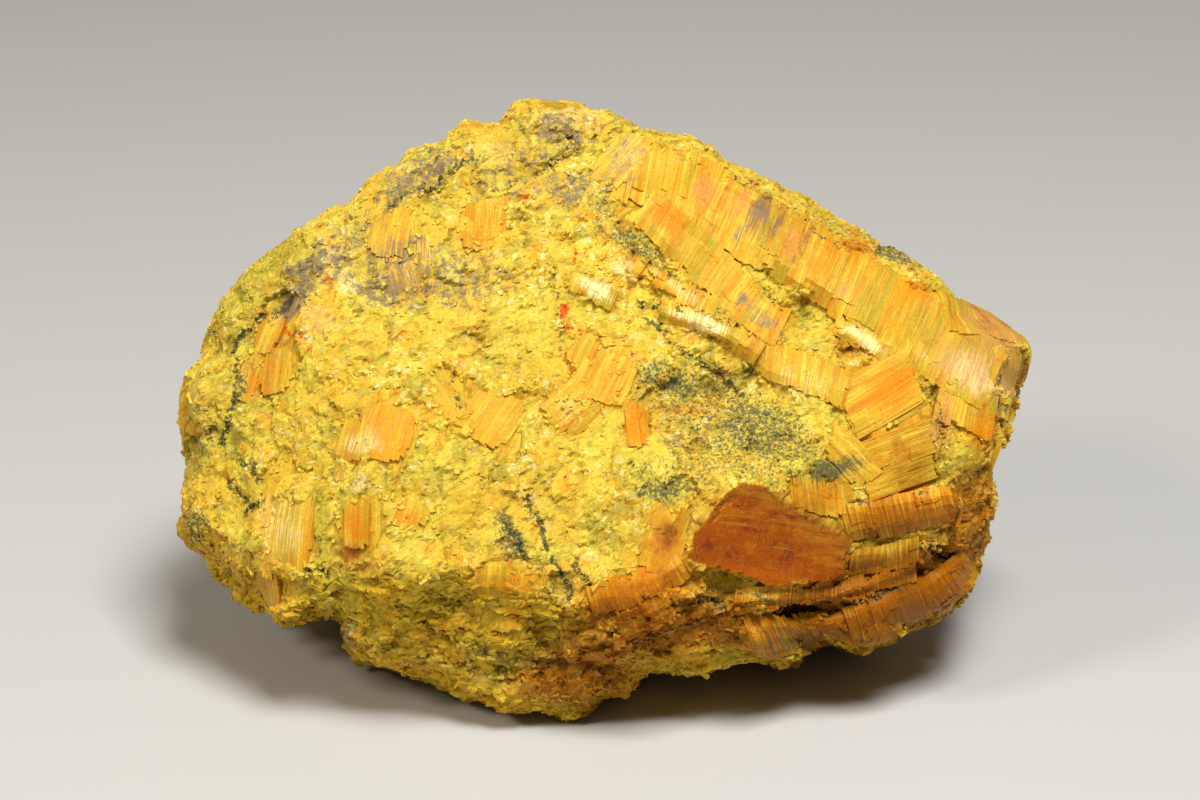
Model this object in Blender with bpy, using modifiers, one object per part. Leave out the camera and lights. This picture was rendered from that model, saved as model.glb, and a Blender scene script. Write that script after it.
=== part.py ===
"""Rough orpiment: one hand specimen of massive, foliated orpiment, standing on its broken base.

The stone is one piece. It starts as a block bounded by fracture faces, whose skin crumbles into flakes.
Bands of laths, ledges and cleaved plates are laid on it and all of it is fused into one skin, which is
then carved with nodules, pits and cracks, drawn out to its outline and worn flat underneath.

Row frame: metres, +Z up, the stone's front faces -Y, and the origin is the middle of its base.
Most features are placed as a viewer in front of the stone sees them: u to the right, v up and w towards
the viewer, in millimetres from the stone's middle.
"""

import math
import random
from collections import namedtuple

import bmesh
import bpy
from mathutils import Matrix, Vector, noise
from mathutils.bvhtree import BVHTree

MM = 0.001

# Driving dimensions, in millimetres and degrees
WIDTH = 110.0  # of the outline below
MIDDLE_HEIGHT = 37.0  # of the point that u, v and w are counted from, above the base
MIDDLE_X = 0.05
MIDDLE_Y = -3.7  # that point behind the middle of the base
EYE_ELEVATION = 22.0  # of the viewer above the horizon
EYE_DISTANCE = 450.0
BASE_CUT = 0.7  # what is worn flat off the lowest lumps, so that the stone rests
FUSE_GRID = 0.75  # finest form that the fused solid keeps
TRIANGLES = 9400  # of the finished solid, before its base is cut
SEED = 11

# The outline that the viewer in front sees, as (u, v) in turn about the middle, from the right-hand tip
OUTLINE = (
    (54.8, 5.8), (55.1, 7.8), (54.2, 9.6), (46.2, 15.9), (25.3, 28.1), (20.3, 30.0), (11.4, 35.2),
    (4.5, 36.6), (0.0, 39.0), (-4.6, 40.0), (-9.4, 40.5), (-12.0, 39.3), (-13.6, 37.4), (-18.2, 37.3),
    (-21.7, 34.7), (-24.6, 33.8), (-34.2, 26.7), (-38.6, 24.9), (-46.8, 18.0), (-50.2, 13.3),
    (-53.9, 5.7), (-55.0, 1.9), (-54.9, -5.8), (-54.9, -15.8), (-48.1, -24.4), (-41.3, -27.8),
    (-35.6, -27.8), (-31.8, -33.0), (-23.6, -35.0), (-16.4, -38.4), (-4.2, -40.3), (-2.1, -39.9),
    (-0.7, -38.2), (2.6, -37.8), (5.5, -34.7), (12.5, -34.3), (17.4, -32.7), (23.7, -33.6),
    (29.6, -30.7), (33.1, -31.9), (45.4, -26.2), (48.6, -20.6), (50.4, -12.6), (50.4, -8.0), (54.0, 1.9),
)

# A fracture face: which way it faces, to the viewer's right and up in degrees, and how far out it lies
Fracture = namedtuple("Fracture", "name right up out")
FRACTURES = (
    Fracture("upper face", 0, 24, 12.0),
    Fracture("brow", -3, 6, 15.6),
    Fracture("left shoulder", -30, 8, 26.0),
    Fracture("left cheek", -58, -4, 45.0),
    Fracture("band face", 17, 21, 18.6),
    Fracture("crown", -10, 58, 37.0),
    Fracture("under the brow", -8, -40, 28.5),
    Fracture("red cleavage", 20, -17, 25.2),
    Fracture("under the cleavage", 16, -52, 33.5),
    Fracture("right ledges", 47, -18, 40.0),
    Fracture("tip", 60, 10, 48.0),
    Fracture("back", 176, 6, 25.0),
    Fracture("upper back", 188, 42, 36.0),
    Fracture("back left", 220, 6, 46.0),
    Fracture("back right", 136, 8, 47.0),
    Fracture("lower back", 170, -40, 38.5),
    Fracture("left under", 214, -40, 49.5),
    Fracture("right under", 132, -40, 49.0),
)
EDGE_SHARPNESS = 40  # a power: the higher it is, the sharper the edge where two fracture faces meet
LATH_ROOT = 4.0  # how far a lath reaches into the block
MOST_BEND = 0.8  # a lath is left out where the skin turns by more than the angle of this cosine
RIM_SLOTS = 120  # directions in which the rim is measured before it is drawn out to the outline
RIM_SHARE = 0.72  # of the way to the rim, where that stretch begins

# A band of laths: which eye sees it, the line its middle follows, its width across, how far it stands out
# of the block, the width of one lath, and how many degrees the laths lean from square across it
Band = namedtuple("Band", "name eye trace across proud lath lean")
# A plate or a cleaved face: its outline, how far it stands out, and its thickness
Plate = namedtuple("Plate", "name eye outline proud thick")
# A nodule, or a pit where it sinks in: its middle, its half width and half height, and how far it stands out
Lump = namedtuple("Lump", "name eye u v wide high proud")
# A crack: the points that it runs through, its width and its depth
Crack = namedtuple("Crack", "name eye trace wide deep")

BANDS = (
    Band("rim band", "front", ((5.6, 30.4), (13.0, 27.6), (20.0, 23.1), (27.3, 19.0), (34.5, 14.4),
                               (41.0, 10.0), (46.4, 6.4), (50.6, 4.2)), 9.0, 1.2, 2.6, 10),
    Band("inner band", "front", ((3.6, 27.4), (8.4, 23.2), (14.4, 17.9), (20.0, 12.6), (23.0, 10.6)),
         5.4, 0.8, 2.4, 8),
    Band("shining rib", "front", ((-4.2, 17.0), (1.2, 14.0)), 2.6, 1.0, 1.8, 4),
    Band("upper rib", "front", ((3.4, 19.4), (6.5, 16.9), (12.3, 14.3), (17.0, 11.4)), 2.7, 1.0, 1.8, 4),
    Band("lower rib", "front", ((7.2, 13.3), (12.3, 11.8), (17.2, 9.3), (20.0, 7.2)), 2.9, 1.5, 1.8, 4),
    Band("right rib", "front", ((29.8, 11.3), (36.6, 7.2)), 2.6, 1.7, 1.7, 0),
    Band("shining slope", "front", ((20.6, 6.8), (26.0, 4.8), (31.4, 2.4)), 4.6, 0.7, 2.6, 12),
    Band("lath block", "front", ((33.6, 6.2), (37.4, -0.6), (39.6, -8.6)), 10.4, 1.7, 2.4, 6),
    Band("tip laths", "front", ((43.0, 1.8), (46.4, 0.4), (50.4, -1.0)), 6.0, 0.9, 2.2, 8),
    Band("upper right ledge", "front", ((31.0, -14.8), (38.2, -13.4), (45.2, -12.2)), 5.2, 1.9, 2.3, 4),
    Band("middle ledge", "front", ((30.6, -19.6), (37.0, -18.6), (43.6, -16.8)), 3.6, 0.9, 2.3, -4),
    Band("thin ledge", "front", ((16.8, -24.3), (30.0, -23.4), (40.2, -20.6)), 2.6, 1.5, 2.2, -10),
    Band("hanging ledge", "front", ((31.6, -28.2), (38.0, -26.0), (43.0, -23.6), (47.8, -20.2)),
         5.4, 1.8, 2.3, 0),
    Band("slanting ledge", "front", ((18.6, -29.0), (25.0, -29.6), (30.4, -28.4)), 5.6, 0.9, 2.0, 27),
    Band("low ledge", "front", ((-4.6, -31.6), (2.2, -29.4), (9.6, -26.8)), 2.6, 1.3, 2.4, -6),
    Band("foot ledge", "front", ((-21.0, -34.4), (-10.0, -36.6), (0.6, -36.0)), 2.4, 0.9, 2.6, 0),
    Band("brow laths", "front", ((-5.0, -27.4), (3.6, -26.0), (12.0, -20.6)), 5.0, 0.8, 2.6, 0),
    Band("back band", "back", ((-34.0, 6.0), (-18.0, 9.5), (-2.0, 10.0), (14.0, 7.0)), 9.6, 1.2, 2.8, 4),
    Band("back step", "back", ((-34.0, -3.5), (-18.0, 0.5), (-4.0, 1.0), (10.0, -2.0)), 6.0, 0.8, 2.6, -6),
    Band("back foot", "back", ((2.0, -16.0), (16.0, -14.0), (30.0, -18.0)), 6.6, 1.0, 2.8, 12),
    Band("left flank", "left", ((-26.0, 10.0), (-20.0, 2.0), (-18.0, -8.0)), 7.0, 0.9, 2.6, 0),
    Band("left foot", "left", ((-16.0, -14.0), (-6.0, -17.0)), 6.0, 0.9, 2.6, 8),
    Band("right end", "right", ((2.0, 6.0), (8.0, -1.0), (11.0, -9.0)), 7.0, 0.9, 2.4, 0),
    Band("right foot", "right", ((-6.0, -16.0), (4.0, -20.0), (12.0, -22.0)), 6.0, 1.0, 2.6, 6),
)

PLATES = (
    Plate("red cleavage face", "front", ((11.0, -15.8), (16.6, -10.2), (21.4, -9.2), (24.8, -11.4),
          (31.1, -14.7), (32.2, -17.6), (30.0, -21.6), (25.2, -22.6), (20.1, -22.5), (16.0, -21.6),
          (12.7, -19.7)), 1.2, 5.0),
    Plate("plate beside the groove", "front", ((-45.6, -13.0), (-41.0, -10.2), (-35.7, -9.0),
          (-35.5, -23.0), (-42.0, -22.2), (-46.4, -18.0)), 0.8, 5.0),
    Plate("small orange tile", "front", ((3.2, 0.4), (5.4, 0.2), (5.0, -4.4), (2.6, -4.2)), 1.0, 4.0),
    Plate("left orange tile", "front", ((-33.8, -11.6), (-30.6, -11.6), (-30.4, -17.2), (-33.6, -17.2)),
          0.7, 4.0),
    Plate("tip tile", "front", ((46.5, -4.9), (47.5, -1.0), (51.3, -1.9), (50.0, -5.8)), 0.9, 4.0),
    Plate("back cleavage", "back", ((-42.0, -6.0), (-30.0, -4.0), (-14.0, -5.0), (-8.0, -12.0),
          (-16.0, -20.0), (-32.0, -19.0)), 1.2, 5.0),
    Plate("back tile", "back", ((24.0, 8.0), (36.0, 7.0), (38.0, -3.0), (29.0, -8.0), (21.0, -2.0)),
          1.3, 5.0),
    Plate("crown tile", "top", ((-24.0, 26.0), (-13.0, 30.0), (-8.0, 24.0), (-18.0, 21.0)), 0.9, 4.0),
    Plate("left tile", "left", ((-15.0, 5.0), (-6.0, 8.0), (-4.0, -1.0), (-13.0, -4.0)), 0.9, 4.0),
)

LUMPS = (
    Lump("crown nodule", "front", -9.2, 35.4, 5.6, 4.6, 2.0),
    Lump("crown shoulder", "front", -4.6, 35.8, 4.0, 3.2, 1.6),
    Lump("crown button", "front", -18.8, 35.0, 1.9, 1.6, 1.1),
    Lump("crown bead", "front", -0.4, 36.6, 2.2, 1.8, 1.2),
    Lump("oval eye", "front", -13.2, 33.2, 3.6, 2.8, 0.8),
    Lump("cheek lump", "front", -50.6, 2.4, 4.4, 4.8, 1.0),
    Lump("jaw lump", "front", -51.4, -13.6, 5.0, 5.6, 1.6),
    Lump("tooth", "front", -33.0, -30.8, 1.9, 3.2, 1.2),
    Lump("jaw pit", "front", -37.6, -27.0, 2.6, 1.5, -2.6),
    Lump("flank pit", "front", 44.3, -18.9, 1.8, 1.4, -2.4),
    Lump("ledge pit", "front", 18.9, -26.8, 2.0, 1.4, -1.8),
    Lump("deep ledge pit", "front", 25.6, -26.4, 2.8, 1.2, -2.2),
    Lump("pink crystal", "front", 19.4, -30.0, 1.7, 2.2, 1.0),
    Lump("band recess", "front", 27.6, 12.8, 4.2, 2.2, -2.1),
    Lump("speckled hollow", "front", 15.5, -2.0, 13.0, 7.0, -1.4),
    Lump("left hollow", "front", -36.0, 15.0, 9.0, 4.0, -0.9),
    Lump("hollow under the brow", "front", -46.0, -24.0, 7.0, 3.0, -1.6),
    Lump("middle nodule", "front", -8.0, 0.6, 6.5, 4.6, 0.9),
    Lump("nodule by the tile", "front", -0.6, -0.8, 3.4, 3.2, 0.9),
    Lump("back nodule", "back", 42.0, 2.0, 6.0, 7.0, 1.6),
    Lump("back knob", "back", 8.0, 24.0, 5.0, 3.4, 1.4),
    Lump("back pit", "back", -2.0, -10.0, 4.4, 2.2, -2.2),
    Lump("back hollow", "back", 16.0, -4.0, 7.0, 5.0, -1.6),
    Lump("left knob", "left", -24.0, -8.0, 5.0, 4.0, 1.4),
    Lump("left pit", "left", -8.0, -12.0, 3.4, 2.0, -1.8),
    Lump("right pit", "right", 0.0, -11.0, 3.2, 2.0, -1.8),
    Lump("top hollow", "top", 10.0, 18.0, 8.0, 4.0, -1.2),
)

CRACKS = (
    Crack("groove beside the plate", "front", ((-35.0, -8.0), (-35.2, -23.4)), 1.6, 0.9),
    Crack("cheek crack", "front", ((-40.0, 16.6), (-46.4, 10.6), (-47.2, 5.2), (-48.3, -1.3)), 1.6, 0.7),
    Crack("crown crack", "front", ((-20.1, 28.1), (-13.5, 29.1), (-7.9, 31.1), (-2.6, 34.4),
          (1.0, 37.4)), 1.6, 0.7),
    Crack("seam under the rim band", "front", ((2.0, 28.4), (7.0, 26.2), (11.6, 22.8), (17.4, 19.0),
          (22.6, 15.6)), 1.7, 0.9),
    Crack("seam over the ribs", "front", ((1.0, 22.4), (5.8, 19.6), (10.6, 16.6), (16.2, 12.6)), 1.4, 0.7),
    Crack("seam between the ribs", "front", ((2.0, 16.9), (8.0, 15.0), (13.0, 13.2), (18.2, 10.0)), 1.4, 0.7),
    Crack("foot of the ribs", "front", ((4.6, 12.4), (12.0, 9.8), (17.4, 7.4)), 1.5, 0.7),
    Crack("side of the lath block", "front", ((33.4, -3.4), (35.6, -9.8), (42.6, -7.0), (44.0, 0.4),
          (40.6, 5.0)), 1.6, 1.0),
    Crack("foot of the cleavage", "front", ((10.0, -22.4), (17.0, -23.0), (26.0, -23.9), (32.0, -21.8),
          (36.0, -20.8)), 3.0, 2.0),
    Crack("flank crack", "front", ((31.4, -17.5), (38.0, -16.6), (46.0, -14.4)), 2.4, 1.8),
    Crack("crack over the columns", "front", ((22.0, -25.8), (30.0, -25.4), (37.0, -23.0), (46.0, -18.6)),
          1.8, 1.4),
    Crack("low crack", "front", ((-6.0, -33.4), (3.0, -30.9), (12.0, -28.4), (20.0, -27.0)), 1.6, 0.9),
    Crack("jaw crack", "front", ((-46.0, -21.6), (-38.0, -23.6), (-32.0, -24.6)), 1.5, 0.7),
    Crack("back crack", "back", ((-44.0, 0.0), (-26.0, -1.0), (-6.0, 0.6), (12.0, -3.0), (26.0, -12.0)),
          1.8, 1.1),
    Crack("back foot crack", "back", ((-20.0, -22.0), (0.0, -20.0), (20.0, -22.0)), 1.8, 1.0),
    Crack("left crack", "left", ((-30.0, 14.0), (-14.0, 6.0), (-10.0, -8.0), (-2.0, -18.0)), 1.7, 0.9),
    Crack("right crack", "right", ((-10.0, -8.0), (0.0, -5.0), (12.0, -14.0)), 1.7, 0.9),
    Crack("top crack", "top", ((-34.0, 20.0), (-12.0, 24.0), (6.0, 30.0), (28.0, 24.0)), 1.6, 0.7),
)

# Crumbled skin: flakes of two sizes, each a small tilted facet, and slow swells
Flakes = namedtuple("Flakes", "size tilt lift")
FLAKES = (Flakes(9.0, 0.09, 0.35), Flakes(4.0, 0.08, 0.14))
SWELLS = ((14.0, 0.9), (6.0, 0.35))  # noise wavelength and height

HUE = {"orpiment": (0.84, 0.55, 0.06, 1.0)}


class Eye:
    """A viewer round the stone, and the way from what it sees to the row frame."""

    def __init__(self, azimuth, elevation):
        turn, lift = math.radians(azimuth), math.radians(elevation)
        self.right = Vector((math.cos(turn), math.sin(turn), 0.0))
        self.towards = Vector(
            (math.sin(turn) * math.cos(lift), -math.cos(turn) * math.cos(lift), math.sin(lift))
        )
        self.up = self.towards.cross(self.right)
        self.middle = Vector((MIDDLE_X, MIDDLE_Y, MIDDLE_HEIGHT))

    def direction(self, u, v, w):
        return self.right * u + self.up * v + self.towards * w

    def point(self, u, v, w=0.0):
        """The place at depth w that the eye sees at (u, v) on the plane through the middle."""
        nearer = 1.0 - w / EYE_DISTANCE
        return self.middle + self.direction(u * nearer, v * nearer, w)

    def surface(self, skin, u, v):
        """Where the eye's line through (u, v) first meets the skin, and which way the skin faces there."""
        start = self.middle + self.towards * EYE_DISTANCE
        aim = (self.point(u, v) - start).normalized()
        place, faces, _, _ = skin.ray_cast(start, aim)
        return (place, faces) if place else None


EYES = {
    "front": Eye(0, EYE_ELEVATION),
    "right": Eye(90, 10),
    "back": Eye(180, 12),
    "left": Eye(270, 10),
    "top": Eye(0, 80),
}


def outline_reach(u, v):
    """The outline's radius in the direction of (u, v), read along its straight stretches."""
    angle = math.atan2(v, u)
    for first, second in zip(OUTLINE, OUTLINE[1:] + OUTLINE[:1]):
        a = Vector(first)
        b = Vector(second)
        ray = Vector((math.cos(angle), math.sin(angle)))
        side = b - a
        across = ray.x * side.y - ray.y * side.x
        if abs(across) < 1e-9:
            continue
        reach = (a.x * side.y - a.y * side.x) / across
        along = (a.x * ray.y - a.y * ray.x) / across
        if reach > 0 and 0 <= along <= 1:
            return reach
    return WIDTH / 2


def facing(right, up):
    """A unit direction as (u, v, w), from how far it turns to the viewer's right and up."""
    turn, lift = math.radians(right), math.radians(up)
    return Vector((math.sin(turn) * math.cos(lift), math.sin(lift), math.cos(turn) * math.cos(lift)))


def block_reach(direction, faces):
    """How far the block reaches in a (u, v, w) direction: the nearest of its faces, with rounded edges."""
    total = 0.0
    flat = math.hypot(direction.x, direction.y)
    if flat > 1e-6:
        total += (flat / outline_reach(direction.x, direction.y)) ** EDGE_SHARPNESS
    for normal, out in faces:
        total += max(0.0, normal.dot(direction) / out) ** EDGE_SHARPNESS
    return total ** (-1.0 / EDGE_SHARPNESS)


def broken_block():
    """The stone's main form, as a closed ball drawn in to its fracture faces and its outline."""
    lift = math.radians(EYE_ELEVATION)
    faces = [(facing(f.right, f.up), f.out) for f in FRACTURES]
    faces.append((Vector((0.0, -math.cos(lift), -math.sin(lift))), MIDDLE_HEIGHT + BASE_CUT))
    bm = bmesh.new()
    bmesh.ops.create_icosphere(bm, subdivisions=6, radius=1.0)
    eye = EYES["front"]
    for vert in bm.verts:
        vert.co = eye.point(*(vert.co * block_reach(vert.co, faces)))
    bmesh.ops.recalc_face_normals(bm, faces=bm.faces)
    return bm


def along_trace(trace, spacing):
    """Points and directions at even spacing along a line through the trace's points."""
    corners = [Vector(p) for p in trace]
    for start, end in zip(corners, corners[1:]):
        side = end - start
        count = max(1, round(side.length / spacing))
        for i in range(count):
            yield start + side * ((i + 0.5) / count), side.normalized()


def lath_end(eye, skin, place, half):
    """Where a lath ends: as far along as the eye still sees the skin."""
    for share in (1.0, 0.8, 0.6):
        found = eye.surface(skin, *(place + half * share))
        if found:
            return found
    return None


def lay_band(bm, skin, band, dice):
    """Laths side by side along the band's trace, each running across it, a little uneven."""
    eye = EYES[band.eye]
    for place, heading in along_trace(band.trace, band.lath):
        lean = math.radians(90 + band.lean + dice.uniform(-3, 3))
        half = Matrix.Rotation(lean, 2) @ heading * (band.across / 2)
        first = lath_end(eye, skin, place, half * -dice.uniform(0.9, 1.1))
        last = lath_end(eye, skin, place, half * dice.uniform(0.9, 1.1))
        if first is None or last is None or first[1].dot(last[1]) < MOST_BEND:
            continue
        fibre = last[0] - first[0]
        length = fibre.length
        fibre.normalize()
        normal = first[1] + last[1]
        normal = (normal - fibre * normal.dot(fibre)).normalized()
        normal = Matrix.Rotation(math.radians(dice.uniform(-9, 9)), 3, fibre) @ normal
        high = max(0.3, band.proud + dice.uniform(-0.45, 0.45))
        size = (band.lath * dice.uniform(1.0, 1.3), length, LATH_ROOT + high)
        centre = (first[0] + last[0]) / 2 + normal * (high - LATH_ROOT) / 2
        axes = Matrix((fibre.cross(normal), fibre, normal)).transposed().to_4x4()
        lath = Matrix.Translation(centre) @ axes @ Matrix.Diagonal((*size, 1.0))
        bmesh.ops.create_cube(bm, size=1.0, matrix=lath)


def lay_plate(bm, skin, plate):
    """A flat-faced plate cut to its outline, laid through the skin under it."""
    eye = EYES[plate.eye]
    seen = [found for found in (eye.surface(skin, u, v) for u, v in plate.outline) if found]
    middle = sum((point for point, _ in seen), Vector()) / len(seen)
    normal = sum((facing for _, facing in seen), Vector()).normalized()
    corners = [bm.verts.new(point + normal * ((middle - point).dot(normal) + plate.proud))
               for point, _ in seen]
    top = bmesh.ops.contextual_create(bm, geom=corners)["faces"]
    made = bmesh.ops.extrude_face_region(bm, geom=top, use_keep_orig=True)
    sunk = [item for item in made["geom"] if isinstance(item, bmesh.types.BMVert)]
    bmesh.ops.translate(bm, vec=-normal * (plate.thick + plate.proud), verts=sunk)


def fused(bm, name):
    """One skin round everything in bm."""
    bmesh.ops.recalc_face_normals(bm, faces=bm.faces)
    mesh = bpy.data.meshes.new(name)
    bm.to_mesh(mesh)
    bm.free()
    obj = bpy.data.objects.new(name, mesh)
    bpy.context.scene.collection.objects.link(obj)
    skin = obj.modifiers.new("one skin", "REMESH")
    skin.mode = "VOXEL"
    skin.voxel_size = FUSE_GRID
    graph = bpy.context.evaluated_depsgraph_get()
    joined = bpy.data.meshes.new_from_object(obj.evaluated_get(graph))
    bpy.data.objects.remove(obj)
    return joined


def distance_to_trace(place, trace):
    """The distance of a (u, v) place from a line through the trace's points."""
    best = WIDTH
    for a, b in zip(trace, trace[1:]):
        a = Vector(a)
        side = Vector(b) - a
        share = max(0.0, min(1.0, (place - a).dot(side) / side.length_squared))
        best = min(best, (place - a - side * share).length)
    return best


def seen_at(eye, point):
    """Where an eye sees a point, as (u, v) on the plane through the middle."""
    rel = point - eye.middle
    scale = 1.0 / (1.0 - rel.dot(eye.towards) / EYE_DISTANCE)
    return Vector((rel.dot(eye.right) * scale, rel.dot(eye.up) * scale))


def carved(point, normal):
    """How far nodules, pits and cracks move the skin at a point, outwards if positive."""
    move = 0.0
    for name, eye in EYES.items():
        if normal.dot(eye.towards) < 0.08:
            continue
        place = seen_at(eye, point)
        for lump in LUMPS:
            if lump.eye != name:
                continue
            far = math.hypot((place.x - lump.u) / lump.wide, (place.y - lump.v) / lump.high)
            if far < 1.0:
                move += lump.proud * (1.0 - far ** 2.4)
        for crack in CRACKS:
            if crack.eye != name:
                continue
            far = distance_to_trace(place, crack.trace) / (crack.wide / 2)
            if far < 1.0:
                move -= crack.deep * (1.0 - far)
    return move


def flake(point, flakes, seed):
    """The height of a tilted facet: each cell of the skin leans its own way."""
    spots = noise.voronoi(point / flakes.size + Vector((seed, 0.0, 0.0)))[1]
    centre = (spots[0] - Vector((seed, 0.0, 0.0))) * flakes.size
    lean = noise.cell_vector(spots[0] * 7.31 + Vector((seed, 1.0, 2.0))) * 2 - Vector((1.0, 1.0, 1.0))
    lift = noise.cell(spots[0] * 5.17 + Vector((3.0, seed, 1.0))) * 2 - 1
    return lean.dot(point - centre) * flakes.tilt + lift * flakes.lift


def crumble(bm):
    """The block's skin broken into flakes, over slow swells."""
    bm.normal_update()
    moved = []
    for vert in bm.verts:
        move = sum(flake(vert.co, flakes, 3.0 + i) for i, flakes in enumerate(FLAKES))
        move += sum(noise.noise(vert.co / wavelength) * height for wavelength, height in SWELLS)
        moved.append(vert.co + vert.normal * move)
    for vert, place in zip(bm.verts, moved):
        vert.co = place


def within_outline(point):
    """The point, drawn in to the outline where the viewer in front would see it outside."""
    eye = EYES["front"]
    place = seen_at(eye, point)
    if place.length < WIDTH / 4:
        return point
    reach = outline_reach(place.x, place.y)
    if place.length <= reach:
        return point
    place *= reach / place.length
    return eye.point(place.x, place.y, (point - eye.middle).dot(eye.towards))


def rim_reach(rim, turn):
    """The rim's reach at a share of a full turn, between the two slots nearest to it."""
    place = turn * RIM_SLOTS - 0.5
    slot = math.floor(place)
    share = place - slot
    return rim[slot % RIM_SLOTS] * (1.0 - share) + rim[(slot + 1) % RIM_SLOTS] * share


def drawn_to_outline(points):
    """The points with their rim, as the viewer in front sees it, stretched out to the outline."""
    eye = EYES["front"]
    seen = [seen_at(eye, point) for point in points]
    turns = [math.atan2(place.y, place.x) / math.tau % 1.0 for place in seen]
    farthest = [0.0] * RIM_SLOTS
    for place, turn in zip(seen, turns):
        slot = int(turn * RIM_SLOTS)
        farthest[slot] = max(farthest[slot], place.length)
    rim = [(farthest[i - 1] + farthest[i] + farthest[(i + 1) % RIM_SLOTS]) / 3 for i in range(RIM_SLOTS)]
    drawn = []
    for point, place, turn in zip(points, seen, turns):
        reach = rim_reach(rim, turn)
        share = min(1.0, place.length / reach)
        if share > RIM_SHARE:
            short = outline_reach(place.x, place.y) / reach - 1.0
            place *= 1.0 + short * ((share - RIM_SHARE) / (1.0 - RIM_SHARE)) ** 1.5
            point = eye.point(place.x, place.y, (point - eye.middle).dot(eye.towards))
        drawn.append(point)
    return drawn


def carve(mesh):
    """The fused skin with its nodules, pits and cracks, moved along each point's own normal."""
    bm = bmesh.new()
    bm.from_mesh(mesh)
    bm.normal_update()
    moved = [within_outline(vert.co + vert.normal * carved(vert.co, vert.normal)) for vert in bm.verts]
    for vert, place in zip(bm.verts, drawn_to_outline(moved)):
        vert.co = place
    bm.to_mesh(mesh)
    bm.free()
    return mesh


def collection(name, shown=True):
    made = bpy.data.collections.new(name)
    bpy.context.scene.collection.children.link(made)
    made.hide_render = not shown
    return made


def floor_cutter(into):
    """A block whose top is the plane that the stone rests on."""
    size = 2 * WIDTH * MM
    bm = bmesh.new()
    bmesh.ops.create_cube(bm, size=size, matrix=Matrix.Translation((0.0, 0.0, -size / 2)))
    mesh = bpy.data.meshes.new("resting plane")
    bm.to_mesh(mesh)
    bm.free()
    cutter = bpy.data.objects.new("resting plane", mesh)
    cutter.hide_render = True
    cutter.display_type = "WIRE"
    into.objects.link(cutter)
    return cutter


def stone_material():
    """Orpiment: a soft, resinous, golden-yellow sulphide."""
    material = bpy.data.materials.new("orpiment")
    material.use_nodes = True
    shader = material.node_tree.nodes["Principled BSDF"]
    shader.inputs["Base Color"].default_value = HUE["orpiment"]
    shader.inputs["Roughness"].default_value = 0.5
    shader.inputs["Metallic"].default_value = 0.0
    return material


def build_stone():
    dice = random.Random(SEED)
    bm = broken_block()
    skin = BVHTree.FromBMesh(bm)
    crumble(bm)
    for band in BANDS:
        lay_band(bm, skin, band, dice)
    for plate in PLATES:
        lay_plate(bm, skin, plate)
    mesh = carve(fused(bm, "rough_orpiment"))
    mesh.transform(Matrix.Scale(MM, 4))
    stone = bpy.data.objects.new("rough_orpiment", mesh)
    collection("rough orpiment").objects.link(stone)
    stone.data.materials.append(stone_material())
    fewer = stone.modifiers.new("fewer facets", "DECIMATE")
    fewer.ratio = TRIANGLES / (2 * len(mesh.polygons))
    fewer.use_collapse_triangulate = True
    base = stone.modifiers.new("flat base", "BOOLEAN")
    base.operation = "DIFFERENCE"
    base.solver = "EXACT"
    base.object = floor_cutter(collection("cutters", shown=False))
    return stone


for old in list(bpy.data.objects):
    bpy.data.objects.remove(old)
build_stone()
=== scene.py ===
"""Rough orpiment: the looks of one hand specimen of massive, foliated orpiment.

The stone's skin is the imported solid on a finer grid, parted into crystals that each have a grain of their
own. On it lie cleaved laths, along the bands and on fibrous crystals, and thousands of short chips.
Most places are given as a viewer sees them: u to the right, v up and w towards the viewer, in
millimetres from the stone's middle.
"""

import math
from collections import namedtuple

import bmesh
import bpy
import numpy as np
from mathutils import Matrix, Vector, bvhtree, kdtree, noise


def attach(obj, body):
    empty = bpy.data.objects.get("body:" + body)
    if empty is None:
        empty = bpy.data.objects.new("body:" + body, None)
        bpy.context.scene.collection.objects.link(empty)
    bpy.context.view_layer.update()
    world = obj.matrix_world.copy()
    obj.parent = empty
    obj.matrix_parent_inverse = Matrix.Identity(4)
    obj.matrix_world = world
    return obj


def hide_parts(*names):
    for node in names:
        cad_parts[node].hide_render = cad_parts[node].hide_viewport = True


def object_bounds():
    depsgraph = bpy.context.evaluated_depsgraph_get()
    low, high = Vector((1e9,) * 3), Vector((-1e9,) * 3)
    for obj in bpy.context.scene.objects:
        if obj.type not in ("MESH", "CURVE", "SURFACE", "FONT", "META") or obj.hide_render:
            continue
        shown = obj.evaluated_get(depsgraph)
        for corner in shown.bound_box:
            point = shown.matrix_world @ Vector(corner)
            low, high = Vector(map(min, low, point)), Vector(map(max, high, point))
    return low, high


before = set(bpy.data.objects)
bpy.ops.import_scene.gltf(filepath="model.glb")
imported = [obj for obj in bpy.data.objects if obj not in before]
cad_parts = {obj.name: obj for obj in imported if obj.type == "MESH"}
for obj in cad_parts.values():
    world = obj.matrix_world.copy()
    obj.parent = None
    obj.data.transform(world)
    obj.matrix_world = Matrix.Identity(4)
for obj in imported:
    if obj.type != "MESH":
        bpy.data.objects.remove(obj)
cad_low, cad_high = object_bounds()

MM = 0.001

# The stone's middle and its viewer, in millimetres and degrees, as the solid was drawn
MIDDLE = (0.05, -3.7, 37.0)
EYE_ELEVATION = 22.0
EYE_DISTANCE = 450.0
FRAME_WIDTH = 155.3  # of the picture, at the stone's middle
FRAME_SHIFT = (-0.65, 1.3)  # of the picture's middle from the stone's

SKIN_GRID = 0.57
SKIN_AREA = 21960.0  # square millimetres
CHIPS_A_PIECE = 16000
CHIP_SPACINGS = (3.2, 1.5)  # between the middles of the skin's coarse facets, and of its fine ones
CHIP_STEEPNESS = (0.11, 0.13)
MOST_PROUD = 0.32  # how far a facet of either kind stands out at most, up or down
BATCH = 4000  # places whose crystals are looked up at once
SEED = 5

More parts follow.
